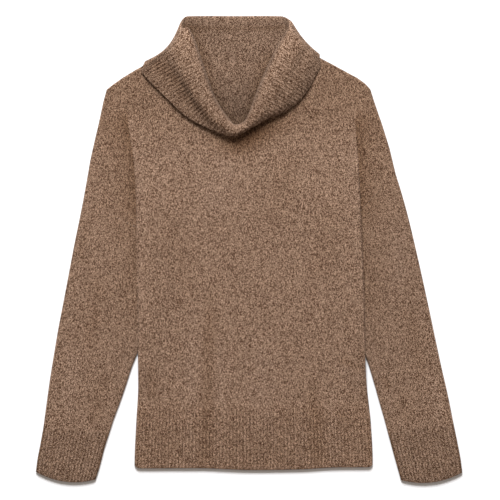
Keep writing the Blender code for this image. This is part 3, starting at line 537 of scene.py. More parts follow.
def fullness(x, y):
    """The small loft of the front over the back."""
    left, right = inset_from_sides(x, y)
    inside = ease(*FULLNESS_INSET, left) * ease(*FULLNESS_INSET, right)
    return FULLNESS * inside * between(FULLNESS_Y, y)


def side_fold(x, y):
    """The front's step along its folded sides, above the armholes."""
    inset = np.minimum(*inset_from_sides(x, y))
    height = SLEEVE_HEIGHT * (1.0 - ease(FOLD_FULL_Y, FOLD_START_Y, y)) * ease(0.0, FOLD_END_Y, y)
    wanted = height * (1.0 - ease(*FOLD_INSET, inset)) * (inset >= -ON_EDGE)
    return np.maximum(wanted - sleeve_lift(x, y), 0.0)


def collar_state(at):
    """The collar's sections at places counted in rows of its table, round and round."""
    count = len(COLLAR["rim_x"])
    knots = np.arange(-3, count + 3)
    at = np.asarray(at, float) % count
    return {
        name: smooth(at, knots, np.concatenate([values[-3:], values, values[:3]]))[:, None]
        for name, values in COLLAR.items()
    }


def collar_lines(at):
    """Each section's state, with its rim and edge in plan and the ways down and out of it."""
    state = collar_state(at)
    rim = np.hstack([state["rim_x"], state["rim_y"]])
    edge = np.hstack([state["edge_x"], state["edge_y"]])
    down = unit(edge - rim)
    out = np.stack([down[:, 1], -down[:, 0]], axis=1)
    out *= np.where(rim[:, :1] > NECK_MIDDLE_X, -1.0, 1.0)
    return state, rim, edge, down, out


def collar_seam(at):
    """The neck seam in plan."""
    state, rim, edge, _, out = collar_lines(at)
    sideways = np.cos(np.radians(state["turn"])) * 2.0 * state["roll"]
    bow = state["bow"] * np.sin(np.pi * state["seam"])
    return rim + (edge - rim) * state["seam"] + out * (bow - sideways)


def flat(plan):
    """Points of a plan, on the floor."""
    return np.concatenate([plan, np.zeros((len(plan), 1))], axis=1)


def collar_middle(at):
    """The middle of the collar's wall, as rows from the neck seam over the rim to the free edge."""
    state, rim, edge, down, out = collar_lines(at)
    turn, bow = np.radians(state["turn"]), state["bow"]
    up = np.array([[0.0, 0.0, 1.0]])
    away = flat(out) * np.cos(turn) + up * np.sin(turn)
    deep = 2.0 * state["roll"]
    small = np.minimum(state["roll"], TUCKED_TURN)
    front_height = NECK_LIFT + WALL * 1.5 + SEAM_GAP
    back_height = NECK_LIFT + WALL / 2
    between = (back_height + front_height) / 2
    heights = (back_height, back_height, between, front_height, front_height)
    seam_height = np.interp(state["turn"], (-90.0, -50.0, 0.0, 50.0, 90.0), heights)
    rim_top = flat(rim) + up * state["top"]
    inner_start = rim_top + flat(down) * small - away * deep
    end = flat(collar_seam(at)) + up * seam_height
    straight = end - flat(out) * bow * np.sin(np.pi * state["seam"])
    rows = []
    for part in np.linspace(1.0, 0.0, COLLAR_INNER_ROWS + 1)[:-1]:
        shift = bow * np.sin(np.pi * state["seam"] * part)
        rows.append(inner_start + (straight - inner_start) * part + flat(out) * shift)
    for swing in np.radians(np.linspace(-90.0, 90.0, COLLAR_ROLL_ROWS)):
        along_down = small if swing < 0.0 else state["crest"]
        along_away = small if swing < 0.0 else deep - small
        point = rim_top + flat(down) * along_down * (1.0 - np.cos(swing))
        rows.append(point + away * (small - deep + along_away * np.sin(swing)))
    start = flat(rim + down * state["crest"])
    reach = flat(edge) - start
    length = np.linalg.norm(reach, axis=1, keepdims=True)
    outer_heights = np.stack([state[name][:, 0] for name in COLLAR_FALL])
    even = np.linspace(0.0, 1.0, COLLAR_OUTER_ROWS + 1)[1:-1]
    falls = [share * (1.0 - LIP_REACH / length) for share in even]
    falls += [1.0 - distance / length for distance in LIP_STEPS]
    for fall in falls:
        height = [smooth(fall[k], COLLAR_FALL_KNOTS, outer_heights[:, k]) for k in range(len(fall))]
        point = start + reach * fall + flat(out) * bow * np.sin(np.pi * fall)
        point = point + up * np.array(height) - flat(down) * state["tuck"] * ease(TUCK_START, 1.0, fall)
        rows.append(point)
    return np.stack(rows)


def collar_places():
    """Even rib columns all the way round the collar."""
    dense = np.linspace(0.0, len(COLLAR["rim_x"]), COLLAR_SAMPLES)
    state, rim, edge, _, _ = collar_lines(dense)
    rim_share, edge_share = COLLAR_MIDDLE_SHARES
    turn = np.radians(state["turn"][:, 0])
    swing = np.abs(np.diff(turn, prepend=turn[0]))
    run = run_of(rim_share * rim + edge_share * edge) + np.cumsum(swing) * TURN_SPREAD
    ribs = int(round(run[-1] / COLLAR_RIB_PITCH))
    even = np.linspace(0.0, run[-1], ribs * COLLAR_RIB_STEPS + 1)
    return np.interp(even, run, dense)[:-1]


def normals_of(middle):
    """Unit normals of a grid of points that closes on itself along its columns."""
    across = np.roll(middle, -1, axis=1) - np.roll(middle, 1, axis=1)
    return unit(np.cross(np.gradient(middle, axis=0), across))


def add(name, data, place=(0.0, 0.0, 0.0)):
    """An object with this data, at a place in metres."""
    thing = bpy.data.objects.new(name, data)
    thing.location = place
    bpy.context.scene.collection.objects.link(thing)
    return thing


def wall(name, outside, inside, knit, cells=None, closed=False, shade=None):
    """A closed wall between two equal grids of points, with knit's two numbers at each as its UVs.

    shade is the share of soft light that reaches each point of the outside.
    """
    rows, count = outside.shape[:2]
    groups = count if closed else count - 1
    if cells is None:
        cells = np.ones((rows - 1, groups), bool)
    row, column = np.nonzero(cells)
    corners = np.stack([row, column, row, column + 1, row + 1, column + 1, row + 1, column], axis=1)
    corners = corners.reshape(-1, 4, 2)
    places = corners[..., 0] * count + corners[..., 1] % count
    inner = rows * count
    faces = [places, places[:, ::-1] + inner]
    marks = [corners, corners[:, ::-1]]
    padded = np.zeros((rows + 1, groups + 2), bool)
    padded[1:-1, 1:-1] = cells
    if closed:
        padded[1:-1, 0], padded[1:-1, -1] = cells[:, -1], cells[:, 0]
    for edge_row, edge_column, first, second in ((-1, 0, 0, 1), (1, 0, 2, 3), (0, -1, 3, 0), (0, 1, 1, 2)):
        bare = ~padded[row + 1 + edge_row, column + 1 + edge_column]
        a, b = places[bare, first], places[bare, second]
        faces.append(np.stack([b, a, a + inner, b + inner], axis=1))
        marks.append(corners[bare][:, [second, first, first, second]])
    faces = np.concatenate(faces)
    marks = np.concatenate(marks)
    points = np.concatenate([outside.reshape(-1, 3), inside.reshape(-1, 3)]) * MM
    a, b, c, d = (points[faces[:, k]] for k in range(4))
    volume = (np.einsum("ij,ij->i", a, np.cross(b, c)) + np.einsum("ij,ij->i", a, np.cross(c, d))).sum()
    if volume < 0.0:
        faces, marks = faces[:, ::-1], marks[:, ::-1]
    used, compact = np.unique(faces, return_inverse=True)
    faces = compact.reshape(faces.shape)
    data = bpy.data.meshes.new(name)
    data.from_pydata(points[used].tolist(), [], faces.tolist())
    layer = data.uv_layers.new(name="knit")
    layer.data.foreach_set("uv", knit[marks[..., 0], marks[..., 1]].reshape(-1).astype(np.float32))
    light = np.ones(2 * inner)
    if shade is not None:
        light[:inner] = shade.reshape(-1)
    data.attributes.new("shade", "FLOAT", "POINT").data.foreach_set("value", light[used].astype(np.float32))
    data.shade_smooth()
    data.set_sharp_from_angle(angle=SHARP_ANGLE)
    data.update()
    return add(name, data)


def shoulder_seam(side):
    """The shoulder seam from the body's edge line to the neck point, under the collar at its end."""
    ring = COLLAR_NECK_POINTS[side]
    state, rim, edge, down, out = collar_lines([ring])
    line_end = edge[0] - out[0] * SHOULDER_TUCK
    bow = state["bow"][0] * np.sin(np.pi * SHOULDER_SHARE)
    behind = rim[0] + (edge[0] - rim[0]) * SHOULDER_SHARE + out[0] * (bow - SHOULDER_TUCK)
    neck = collar_seam([ring])[0] + down[0] * NECK_POINT_DROP
    start, visible = np.array(SHOULDER_STARTS[side])
    near = EDGE_INSETS <= EDGE_REACH
    close = start + unit(visible - start) * EDGE_INSETS[near][:, None]
    far = along([close[-1], visible, line_end, behind, neck], np.linspace(0.0, 1.0, (~near).sum() + 1))
    return np.concatenate([close, far[1:]])


def top_edge(kind):
    """The upper edge of a body panel, from its left edge line over the neck to the right one."""
    left, right = shoulder_seam("left"), shoulder_seam("right")
    ends = np.stack([left[-1], right[-1]])[:, None]
    down = collar_lines(NECK_PLACES[kind])[3]
    seam = collar_seam(NECK_PLACES[kind])
    near = np.linalg.norm(seam - ends, axis=2).min(axis=0)
    neck = seam + down * (NECK_GAPS[kind] + NECK_POINT_GAP * np.exp(-near / NECK_POINT_REACH))[:, None]
    far = np.linalg.norm(neck - ends, axis=2).min(axis=0) > NECK_POINT_REACH
    neck = along(np.concatenate([left[-1:], neck[far], right[-1:]]), MIDDLE_SHARES)
    return np.concatenate([left, neck, right[::-1]])


def coons(bottom, top, left, right, across, up):
    """A patch filled in between four edges."""
    u, v = across[None, :, None], up[:, None, None]
    ruled = (1 - v) * bottom[None] + v * top[None]
    left_off = left - ((1 - up[:, None]) * bottom[0] + up[:, None] * top[0])
    right_off = right - ((1 - up[:, None]) * bottom[-1] + up[:, None] * top[-1])
    return ruled + (1 - u) ** 2 * left_off[:, None] + u**2 * right_off[:, None]


def body_row(y):
    """Points across the body at these heights, close together near its edges."""
    left, right = body_edge(y)
    count = len(EDGE_INSETS)
    start = left[count - 1] + EDGE_INSETS[-1]
    finish = right[-count] - EDGE_INSETS[-1]
    x = np.concatenate([
        left[:count] + EDGE_INSETS,
        start + (finish - start) * MIDDLE_SHARES,
        right[-count:] - EDGE_INSETS[::-1],
    ])
    return np.stack([x, y], axis=1)


def side_line(end, low_y, top):
    """The body's edge line at one end of its rows, from the armhole up to this point of the top."""
    y = low_y + (top[1] - low_y) * UPPER_SHARES
    line = np.stack([body_edge(y)[end], y], axis=1)
    line[-1] = top
    return line


def dropped_shoulder(side, way, line):
    """A dropped shoulder in plan, from its outer edge in to the body's edge line, with its insets."""
    foot = line - np.array([[way * SHOULDER_FOOT, 0.0]])
    outer = along(SHOULDER_SIDES[side], UPPER_SHARES)
    run = foot - outer
    crown = np.array([outer[-1], SHOULDER_CROWNS[side], foot[-1]])
    arch = along(crown, SIDE_SHARES) - (outer[-1] + run[-1] * SIDE_SHARES[:, None])
    bend = (UPPER_SHARES**SHOULDER_BEND)[:, None, None] * arch
    plan = outer[:, None] + run[:, None] * SIDE_SHARES[:, None] + bend
    from_side = SIDE_SHARES * np.linalg.norm(run, axis=1)[:, None]
    from_top = (1.0 - UPPER_SHARES)[:, None] * SHOULDER_HEIGHT
    return plan[:, ::way], np.minimum(from_side, from_top)[:, ::way]


def panel_plan(kind):
    """A body panel in plan, with each point's distance from its edges, the cells that it fills, the
    points that are on a dropped shoulder and the row where the armholes' upper part begins."""
    top = top_edge(kind)
    across = np.linspace(0.0, 1.0, len(top))
    junction_y = LEFT_ARMHOLE_Y + (RIGHT_ARMHOLE_Y - LEFT_ARMHOLE_Y) * across
    seam_y = HEM_SEAM_Y + CLOSE_SEAM_GAP
    lower = [body_row(seam_y + (junction_y - seam_y) * share) for share in LOWER_SHARES[:-1]]
    bottom = body_row(junction_y)
    left, right = (side_line(end, junction_y[end], top[end]) for end in (0, -1))
    body = np.concatenate([lower, coons(bottom, top, left, right, across, UPPER_SHARES)])
    insets, drop, first_upper = len(EDGE_INSETS), SIDE_COLUMNS, len(lower)
    rows, count = len(body), len(top) + 2 * drop
    plan = np.zeros((rows, count, 2))
    plan[:, drop:-drop] = body
    from_top = (1.0 - UPPER_SHARES)[:, None] * np.linalg.norm(top - bottom, axis=1)
    from_top[:, insets:-insets] = FAR
    near_edge = np.full((rows, count), FAR)
    near_edge[first_upper:, drop:-drop] = from_top
    near_edge[: first_upper + 1, drop : drop + insets] = EDGE_INSETS
    near_edge[: first_upper + 1, -drop - insets : -drop] = EDGE_INSETS[::-1]
    for part, shoulder in (
        (slice(drop), dropped_shoulder("left", 1, left)),
        (slice(-drop, None), dropped_shoulder("right", -1, right)),
    ):
        plan[first_upper:, part], near_edge[first_upper:, part] = shoulder
    side_zone = np.ones((rows, count), bool)
    side_zone[:, drop:-drop] = False
    cells = np.zeros((rows - 1, count - 1), bool)
    cells[:, drop:-drop] = True
    cells[first_upper:] = True
    return plan, near_edge, cells, side_zone, first_upper


def rounding(near_edge):
    """How far a free edge's outer side has curved towards the other layer."""
    return EDGE_ROUND * np.clip(1.0 - near_edge / EDGE_REACH, 0.0, 1.0) ** 2


def back_top(x, y, zone):
    """The height of the back's upper side. zone marks the dropped shoulders, which lie low."""
    lift = np.maximum(sleeve_lift(x, y), neck_lift(x, y))
    return np.where(zone, neck_lift(x, y), lift) + WALL


def with_height(plan, height):
    """Points of a plan at their heights."""
    return np.concatenate([plan, height[..., None]], axis=-1)


def shifted_in(plan, first_upper, at_insets):
    """A copy of a panel's plan whose step along the body's edge lies further in, above the armholes."""
    moved = plan.copy()
    amounts = np.append(at_insets[0], np.interp(EDGE_INSETS, STEP_INSETS, at_insets[1:]))
    upper = slice(first_upper + 1, None)
    for side, edge in ((1, SIDE_COLUMNS), (-1, plan.shape[1] - 1 - SIDE_COLUMNS)):
        share = 1.0 - ease(FOLD_START_Y - STEP_RUN, FOLD_START_Y, plan[upper, edge, 1])
        for k, amount in enumerate(amounts):
            moved[upper, edge + side * (k - 1), 0] += side * amount * share
    return moved


def underside(upper, x, y, near_edge):
    """The lower side of a back layer, with its rounded edges and its creases."""
    under = upper - WALL + rounding(near_edge) * UNDERSIDE_ROUNDING
    return under + creases(UNDERSIDE_CREASES, x, y) * ease(*UNDERSIDE_CREASE_INSET, near_edge)


def build_back():
    """The back panel, which lies low where the front's folded sides step over the sleeves."""
    plan, near_edge, cells, zone, first_upper = panel_plan("back")
    top_plan = shifted_in(plan, first_upper, BACK_STEP)
    x, y = plan[..., 0], plan[..., 1]
    low = SIDE_COLUMNS + (EDGE_INSETS <= EDGE_REACH).sum()
    zone[first_upper + 1 :, :low] = True
    zone[first_upper + 1 :, -low:] = True
    upper = back_top(x, y, zone)
    outside = with_height(top_plan, upper)
    inside = with_height(top_plan, underside(upper, x, y, near_edge))
    return wall("back_cloth", outside, inside, plan, cells, shade=inside_neck(x, y))


def front_heights(x, y, zone, near_edge):
    """The front's under and upper sides."""
    gap = SEAM_GAP + (LAYER_GAP - SEAM_GAP) * ease(0.0, EDGE_REACH, near_edge)
    relief = creases(FRONT_CREASES, x, y) * ease(*FRONT_CREASE_INSET, near_edge)
    loft = np.where(zone, 0.0, fullness(x, y) + side_fold(x, y) + relief)
    under = back_top(x, y, zone) + gap + np.maximum(loft, 0.0)
    return under, under + WALL - rounding(near_edge)


def build_front():
    """The front panel, with its creases and the rounded step of its sides over the sleeves."""
    plan, near_edge, cells, zone, first_upper = panel_plan("front")
    x, y = plan[..., 0], plan[..., 1]
    under, upper = front_heights(x, y, zone, near_edge)
    step = np.minimum(1.0, (side_fold(x, y) + sleeve_lift(x, y)) / SLEEVE_HEIGHT)[first_upper + 1 :]
    for k, inset in enumerate(EDGE_INSETS):
        for column in (SIDE_COLUMNS + k, plan.shape[1] - 1 - SIDE_COLUMNS - k):
            upper[first_upper + 1 :, column] -= rounding(inset) * step[:, column]
    under_plan = shifted_in(plan, first_upper, FRONT_STEP)
    shade = (1.0 + CREASE_SHADE * creases(FRONT_CREASES, x, y)) * beside_body(x, y) * under_collar(x, y)
    outside, inside = with_height(plan, upper), with_height(under_plan, under)
    return wall("front_cloth", outside, inside, plan, cells, shade=shade)


def hem_plan(across, rows):
    """The hem band in plan: rows from its lower edge up to the hem seam."""
    left, right = body_edge(HEM_SEAM_Y)
    bottom = smooth(left + (right - left) * across, HEM_EDGE["x"], HEM_EDGE["y"])
    from_side = np.minimum(across, 1.0 - across) * (right - left)
    bottom = bottom + HEM_CORNER * np.clip(1.0 - from_side / (2.0 * HEM_CORNER), 0.0, 1.0) ** 2
    y = HEM_SEAM_Y + (bottom - HEM_SEAM_Y)[None] * rows[:, None]
    row_left, row_right = body_edge(y)
    return np.stack([row_left + (row_right - row_left) * across[None], y], axis=2)[::-1]


def lip(distance):
    """The share of a wall's thickness that is left at a rounded edge."""
    return np.sqrt(1.0 - np.clip(1.0 - distance / LIP_REACH, 0.0, LIP_END) ** 2)


def hem_grid(steps):
    """A hem band's columns and points in plan, each point's distance from its sides and its knit place."""
    across = np.linspace(0.0, 1.0, steps * HEM_RIBS + 1)
    plan = hem_plan(across, HEM_SHARES)
    x, y = plan[..., 0], plan[..., 1]
    knit = np.stack([np.broadcast_to(across * HEM_RIBS * 2 * WALE, x.shape), y], axis=2)
    return across, plan, x, y, np.minimum(*inset_from_sides(x, y)), knit


def hem_wall(name, plan, under, upper, knit, shade=None):
    """A hem band with a rounded lip at its lower edge."""
    from_end = plan[..., 1] - plan[:1, :, 1]
    thick = (upper - under) * (1.0 - lip(from_end)) / 2
    return wall(name, with_height(plan, upper - thick), with_height(plan, under + thick), knit, shade=shade)


def build_hem_front():
    """The front hem band, with its ribs."""
    across, plan, x, y, near_edge, knit = hem_grid(HEM_RIB_STEPS)
    under, upper = front_heights(x, y, np.zeros(x.shape, bool), near_edge)
    ribs = across * HEM_RIBS
    start = ease(*HEM_RIB_START, y[-1:] - y)
    upper = upper + rib_profile(ribs, RIB_DEPTH)[None] * ease(*HEM_RIB_INSET, near_edge) * start
    shade = 1.0 + CREASE_SHADE * creases(FRONT_CREASES, x, y) + (rib_shade(ribs)[None] - 1.0) * start
    return hem_wall("hem_front_cloth", plan, under, upper, knit, shade)


def build_hem_back():
    """The back hem band, whose ribs lie face down and are left plain."""
    _, plan, x, y, near_edge, knit = hem_grid(HEM_BACK_STEPS)
    upper = back_top(x, y, np.zeros(x.shape, bool))
    return hem_wall("hem_back_cloth", plan, underside(upper, x, y, near_edge), upper, knit)


def tube_rings(table, count):
    """A tube's outer points, the run across from each to its inner one, its width and the rings' state."""
    at = np.linspace(0.0, len(table["outer_x"]) - 1.0, count)
    state = {name: smooth(at, np.arange(len(values)), values) for name, values in table.items()}
    outer = np.stack([state["outer_x"], state["outer_y"]], axis=1)
    inner = np.stack([state["inner_x"], state["inner_y"]], axis=1)
    for line in (outer, inner):
        line[0] += unit(line[1] - line[0]) * CLOSE_SEAM_GAP
    run = inner - outer
    return outer, run, np.linalg.norm(run, axis=1)[:, None], state


def tube_section(inset, top_columns):
    """Shares across a flattened tube, over its top and back under it, with their rise at the sides."""
    close = (1.0 - np.cos(TUBE_TURNS)) * inset
    over = inset + np.linspace(0.0, 1.0, top_columns) * (1.0 - 2.0 * inset)
    back = inset + np.linspace(1.0, 0.0, TUBE_UNDER_COLUMNS) * (1.0 - 2.0 * inset)
    top = np.concatenate([close, over, 1.0 - close[:, ::-1]], axis=1)
    under = np.concatenate([1.0 - close[:, 1:], back, close[:, :0:-1]], axis=1)
    side = np.sin(TUBE_TURNS)
    top_rise = np.concatenate([side, np.ones(top_columns), side[::-1]])
    under_rise = np.concatenate([side[1:], np.ones(TUBE_UNDER_COLUMNS), side[:0:-1]])
    return top, under, top_rise, under_rise


def build_tube(name, table, count, top_columns, ribs=0):
    """A flattened tube, ring after ring. One with ribs is a cuff, with a rounded lip at its end."""
    outer, run, width, state = tube_rings(table, count)
    top, under, top_rise, under_rise = tube_section(EDGE_REACH / width, top_columns)
    shares = np.concatenate([top, under], axis=1)
    is_top = np.arange(shares.shape[1]) < top.shape[1]
    down = unit(np.stack([run[:, 1], -run[:, 0]], axis=1))
    down *= np.where(down[:, 1:] > 0, -1.0, 1.0)

    def plan_at(shares):
        arch = 4.0 * shares * (1.0 - shares) * state["bow"][:, None]
        return outer[:, None] + shares[..., None] * run[:, None] + arch[..., None] * down[:, None]

    plan = plan_at(shares)
    x, y = plan[..., 0], plan[..., 1]
    from_side = np.minimum(shares, 1.0 - shares) * width
    length = run_of(outer + run / 2)[:, None]
    arch = np.sin(np.pi * np.clip(shares / state["shown"][:, None], 0.0, 1.0))
    puff = state["fullness"][:, None] * arch * is_top
    relief = creases(SLEEVE_CREASES, x, y) * is_top
    relief = np.maximum(relief * ease(*SLEEVE_CREASE_INSET, from_side), -puff)
    puff = puff + relief
    lift = creases(UNDERSIDE_CREASES, x, y) * ~is_top * ease(*TUBE_UNDERSIDE_CREASE_INSET, from_side)
    rise = np.concatenate([0.5 + 0.5 * top_rise, 0.5 - 0.5 * under_rise])
    height = SLEEVE_HEIGHT * rise + puff + lift
    gap = np.where(top_rise == 0, 0.5, top_rise)
    inner_height = WALL + LAYER_GAP * np.append(gap, np.zeros(len(under_rise))) + puff
    across = np.concatenate([top * width, (2.0 - under) * width, 2.0 * width], axis=1)
    shade = (1.0 + CREASE_SHADE * relief) * beside_body(x, y)
    if ribs:
        rib_at = np.zeros(shares.shape[1])
        ribbed = slice(len(TUBE_TURNS), len(TUBE_TURNS) + top_columns)
        rib_at[ribbed] = np.linspace(0.0, 1.0, top_columns) * ribs
        height[:, ribbed] += rib_profile(rib_at[ribbed], RIB_DEPTH) * ease(*RIB_INSET, from_side[:, ribbed])
        thick = (height - inner_height) * (1.0 - lip(length[-1] - length)) / 2
        height = height - thick - CUFF_STEP * (1.0 - ease(0.0, CUFF_STEP_REACH, length)) * is_top
        inner_height = inner_height + thick
        across = across / width * ribs * 2 * WALE
        shade = shade * rib_shade(rib_at)[None] / rib_shade(RIB_SIDE)
    pull = TUBE_SIDE / width
    inside = with_height(plan_at(pull + shares * (1.0 - 2.0 * pull)), inner_height)
    knit = np.stack([across, np.broadcast_to(-length, across.shape)], axis=2)
    shade = np.where(is_top, shade, 1.0)
    return wall(name, with_height(plan, height), inside, knit, closed=True, shade=shade)


def collar_hollow(places, rows):
    """How far each point lies in the long hollow of the collar's left side. rows counts from the rim."""
    middle = np.interp(places, *HOLLOW_MIDDLE)
    return between(HOLLOW_ENDS, places)[None] * bell(rows[:, None] - middle[None], HOLLOW_REACH)


def collar_shade(middle, rows, places, on_top, shown):
    """The share of soft light on the collar. rows counts from the rim, and shown is how far ribs show."""
    hollow = collar_hollow(places, rows)
    valley = (rib_shade(np.arange(len(places)) / COLLAR_RIB_STEPS) - 1.0) * on_top
    shade = 1.0 + valley[None] * shown * (1.0 + HOLLOW_RIB_SHADE * hollow) - VALLEY_SHADE * hollow
    shade = shade + RIM_LIGHT * bell(rows - 1.0, RIM_LIGHT_REACH)[:, None] * on_top[None]
    in_neck = 1.0 - ease(*IN_NECK_ROWS, rows)
    return shade * (1.0 - in_neck[:, None] * (1.0 - inside_neck(middle[..., 0], middle[..., 1])))


def build_collar():
    """The folded collar: an inner layer up from the neck seam, the rolled rim and the outer layer."""
    places = collar_places()
    middle = collar_middle(places)
    normal = normals_of(middle)
    rows = np.arange(len(middle)) - COLLAR_RIM_ROW
    front = int(np.argmin(np.abs(places - COLLAR_FRONT)))
    if normal[COLLAR_RIM_ROW + 5, front, 2] < 0:
        normal = -normal
    turn = collar_state(places)["turn"][:, 0]
    fold = ease(*ROLL_ROWS, rows)
    thin = FOLD_THINNING * np.cos(np.radians(turn)) ** 2
    half = WALL / 2 * (1.0 - (1.0 - fold[:, None]) * thin[None])[..., None]
    from_edge = np.full(len(middle), FAR)
    from_edge[-len(LIP_STEPS) :] = LIP_STEPS
    half = half * lip(from_edge)[:, None, None]
    on_top = ease(*TURNED_OVER, turn)
    over = ease(IN_NECK_ROWS[0], 0.0, rows)[:, None]
    shown = over * np.interp(rows, *COLLAR_RIBS_SHOWN)[:, None]
    depth = RIB_DEPTH * on_top[None] * shown * (1.0 + HOLLOW_RIBS * collar_hollow(places, rows))
    depth = depth + COLLAR_BACK_RIB_DEPTH * (1.0 - ease(*TURNED_UNDER, turn))[None] * (1.0 - over)
    rib_at = np.arange(len(places) + 1) / COLLAR_RIB_STEPS
    outside = middle + normal * (half + (rib_profile(rib_at[:-1], 1.0)[None] * depth)[..., None])
    steps = np.linalg.norm(np.diff(middle, axis=0), axis=2)
    lengthwise = np.concatenate([np.zeros((1, len(places))), np.cumsum(steps, axis=0)])
    lengthwise = lengthwise - lengthwise[COLLAR_RIM_ROW]
    lengthwise = np.concatenate([lengthwise, lengthwise[:, :1]], axis=1)
    knit = np.stack([np.broadcast_to(rib_at * 2 * WALE, lengthwise.shape), lengthwise], axis=2)
    shade = collar_shade(middle, rows, places, on_top, shown)
    return wall("collar_cloth", outside, middle - normal * half, knit, closed=True, shade=shade)


# The yarn and its stitches. Colours are linear.
WALE = 2.65
COURSE = 1.9
STITCH_DEPTH = 0.5
STITCH_SLANT = 1.3
LEG_ROUNDNESS, ROW_ROUNDNESS = 0.6, 0.5
# Painted shade in the gaps between the stitches, a little lighter on their crowns: the stitch form from the
# first two numbers gives the colour's share from the last two
STITCH_GAP_SHADE = (0.0, 0.7, 0.8, 1.04)
BROAD_NOISE, BROAD_TONES = (0.055, 3.0, 0.55), (0.3, 0.7, 0.96, 1.04)
FUZZ_NOISE, FUZZ_SHARE = (1.1, 3.0, 0.7), 0.35

# Flecks of the marl: how many to a stitch, and the shares of the noise that are dark and light
FLECKS_ACROSS = 4.0
FLECKS_ALONG = 1.8
FLECK_RANGE = (0.4, 0.82)
YARN_LIGHT = (0.535, 0.362, 0.258, 1.0)
YARN_MIDDLE = (0.250, 0.162, 0.115, 1.0)
YARN_DARK = (0.085, 0.038, 0.018, 1.0)
SURFACE = {
    "Roughness": 0.92,
    "Specular IOR Level": 0.18,
    "Sheen Weight": 0.1,
    "Sheen Roughness": 0.45,
    "Sheen Tint": (0.86, 0.74, 0.64, 1.0),
}

# The yarn's brightness on each kind of piece, at places along the courses. For the inside of the neck and
# for the collar it is painted shade: darker towards the bottom of the neck opening, on the collar's inner
# layer and out along its outer layer.
TONES_AND_PAINTED_SHADE = {
    "body_knit": ((0.0, 0.89),),
    "body_knit_inside_painted_shade": ((200.0, 0.5), (290.0, 0.73)),
    "rib_knit": ((0.0, 0.94),),
    "cuff_knit": ((0.0, 0.78),),
    "collar_knit_painted_shade": ((-16.0, 0.7), (-2.0, 0.88), (12.0, 0.87), (36.0, 0.75)),
}


class Graph:
    """A material's nodes, added one at a time and joined by their sockets."""

    def __init__(self, name):
        self.material = bpy.data.materials.new(name)
        self.material.use_nodes = True
        self.tree = self.material.node_tree
        self.shader = self.tree.nodes["Principled BSDF"]

    def put(self, socket, value):
        if isinstance(value, bpy.types.NodeSocket):
            self.tree.links.new(value, socket)
        else:
            socket.default_value = value

    def node(self, kind, **inputs):
        node = self.tree.nodes.new(kind)
        for name, value in inputs.items():
            self.put(node.inputs[name], value)
        return node

    def calculated(self, kind, operation, *values):
        node = self.tree.nodes.new(kind)
        node.operation = operation
        for socket, value in zip(node.inputs, values):
            self.put(socket, value)
        return node.outputs[0]

    def math(self, operation, *values):
        return self.calculated("ShaderNodeMath", operation, *values)

    def noise(self, vector, scale, detail, roughness):
        sizes = {"Scale": scale, "Detail": detail, "Roughness": roughness}
        return self.node("ShaderNodeTexNoise", Vector=vector, **sizes).outputs[0]

    def ramp(self, value, low, high, to_low=0.0, to_high=1.0):
        node = self.node("ShaderNodeMapRange", Value=value)
        node.interpolation_type = "SMOOTHSTEP"
        for place, number in enumerate((low, high, to_low, to_high), 1):
            node.inputs[place].default_value = number
        return node.outputs[0]

    def mix(self, share, first, second):
        node = self.tree.nodes.new("ShaderNodeMix")
        node.data_type = "RGBA"
        for socket, value in ((0, share), (6, first), (7, second)):
            self.put(node.inputs[socket], value)
        return node.outputs[2]


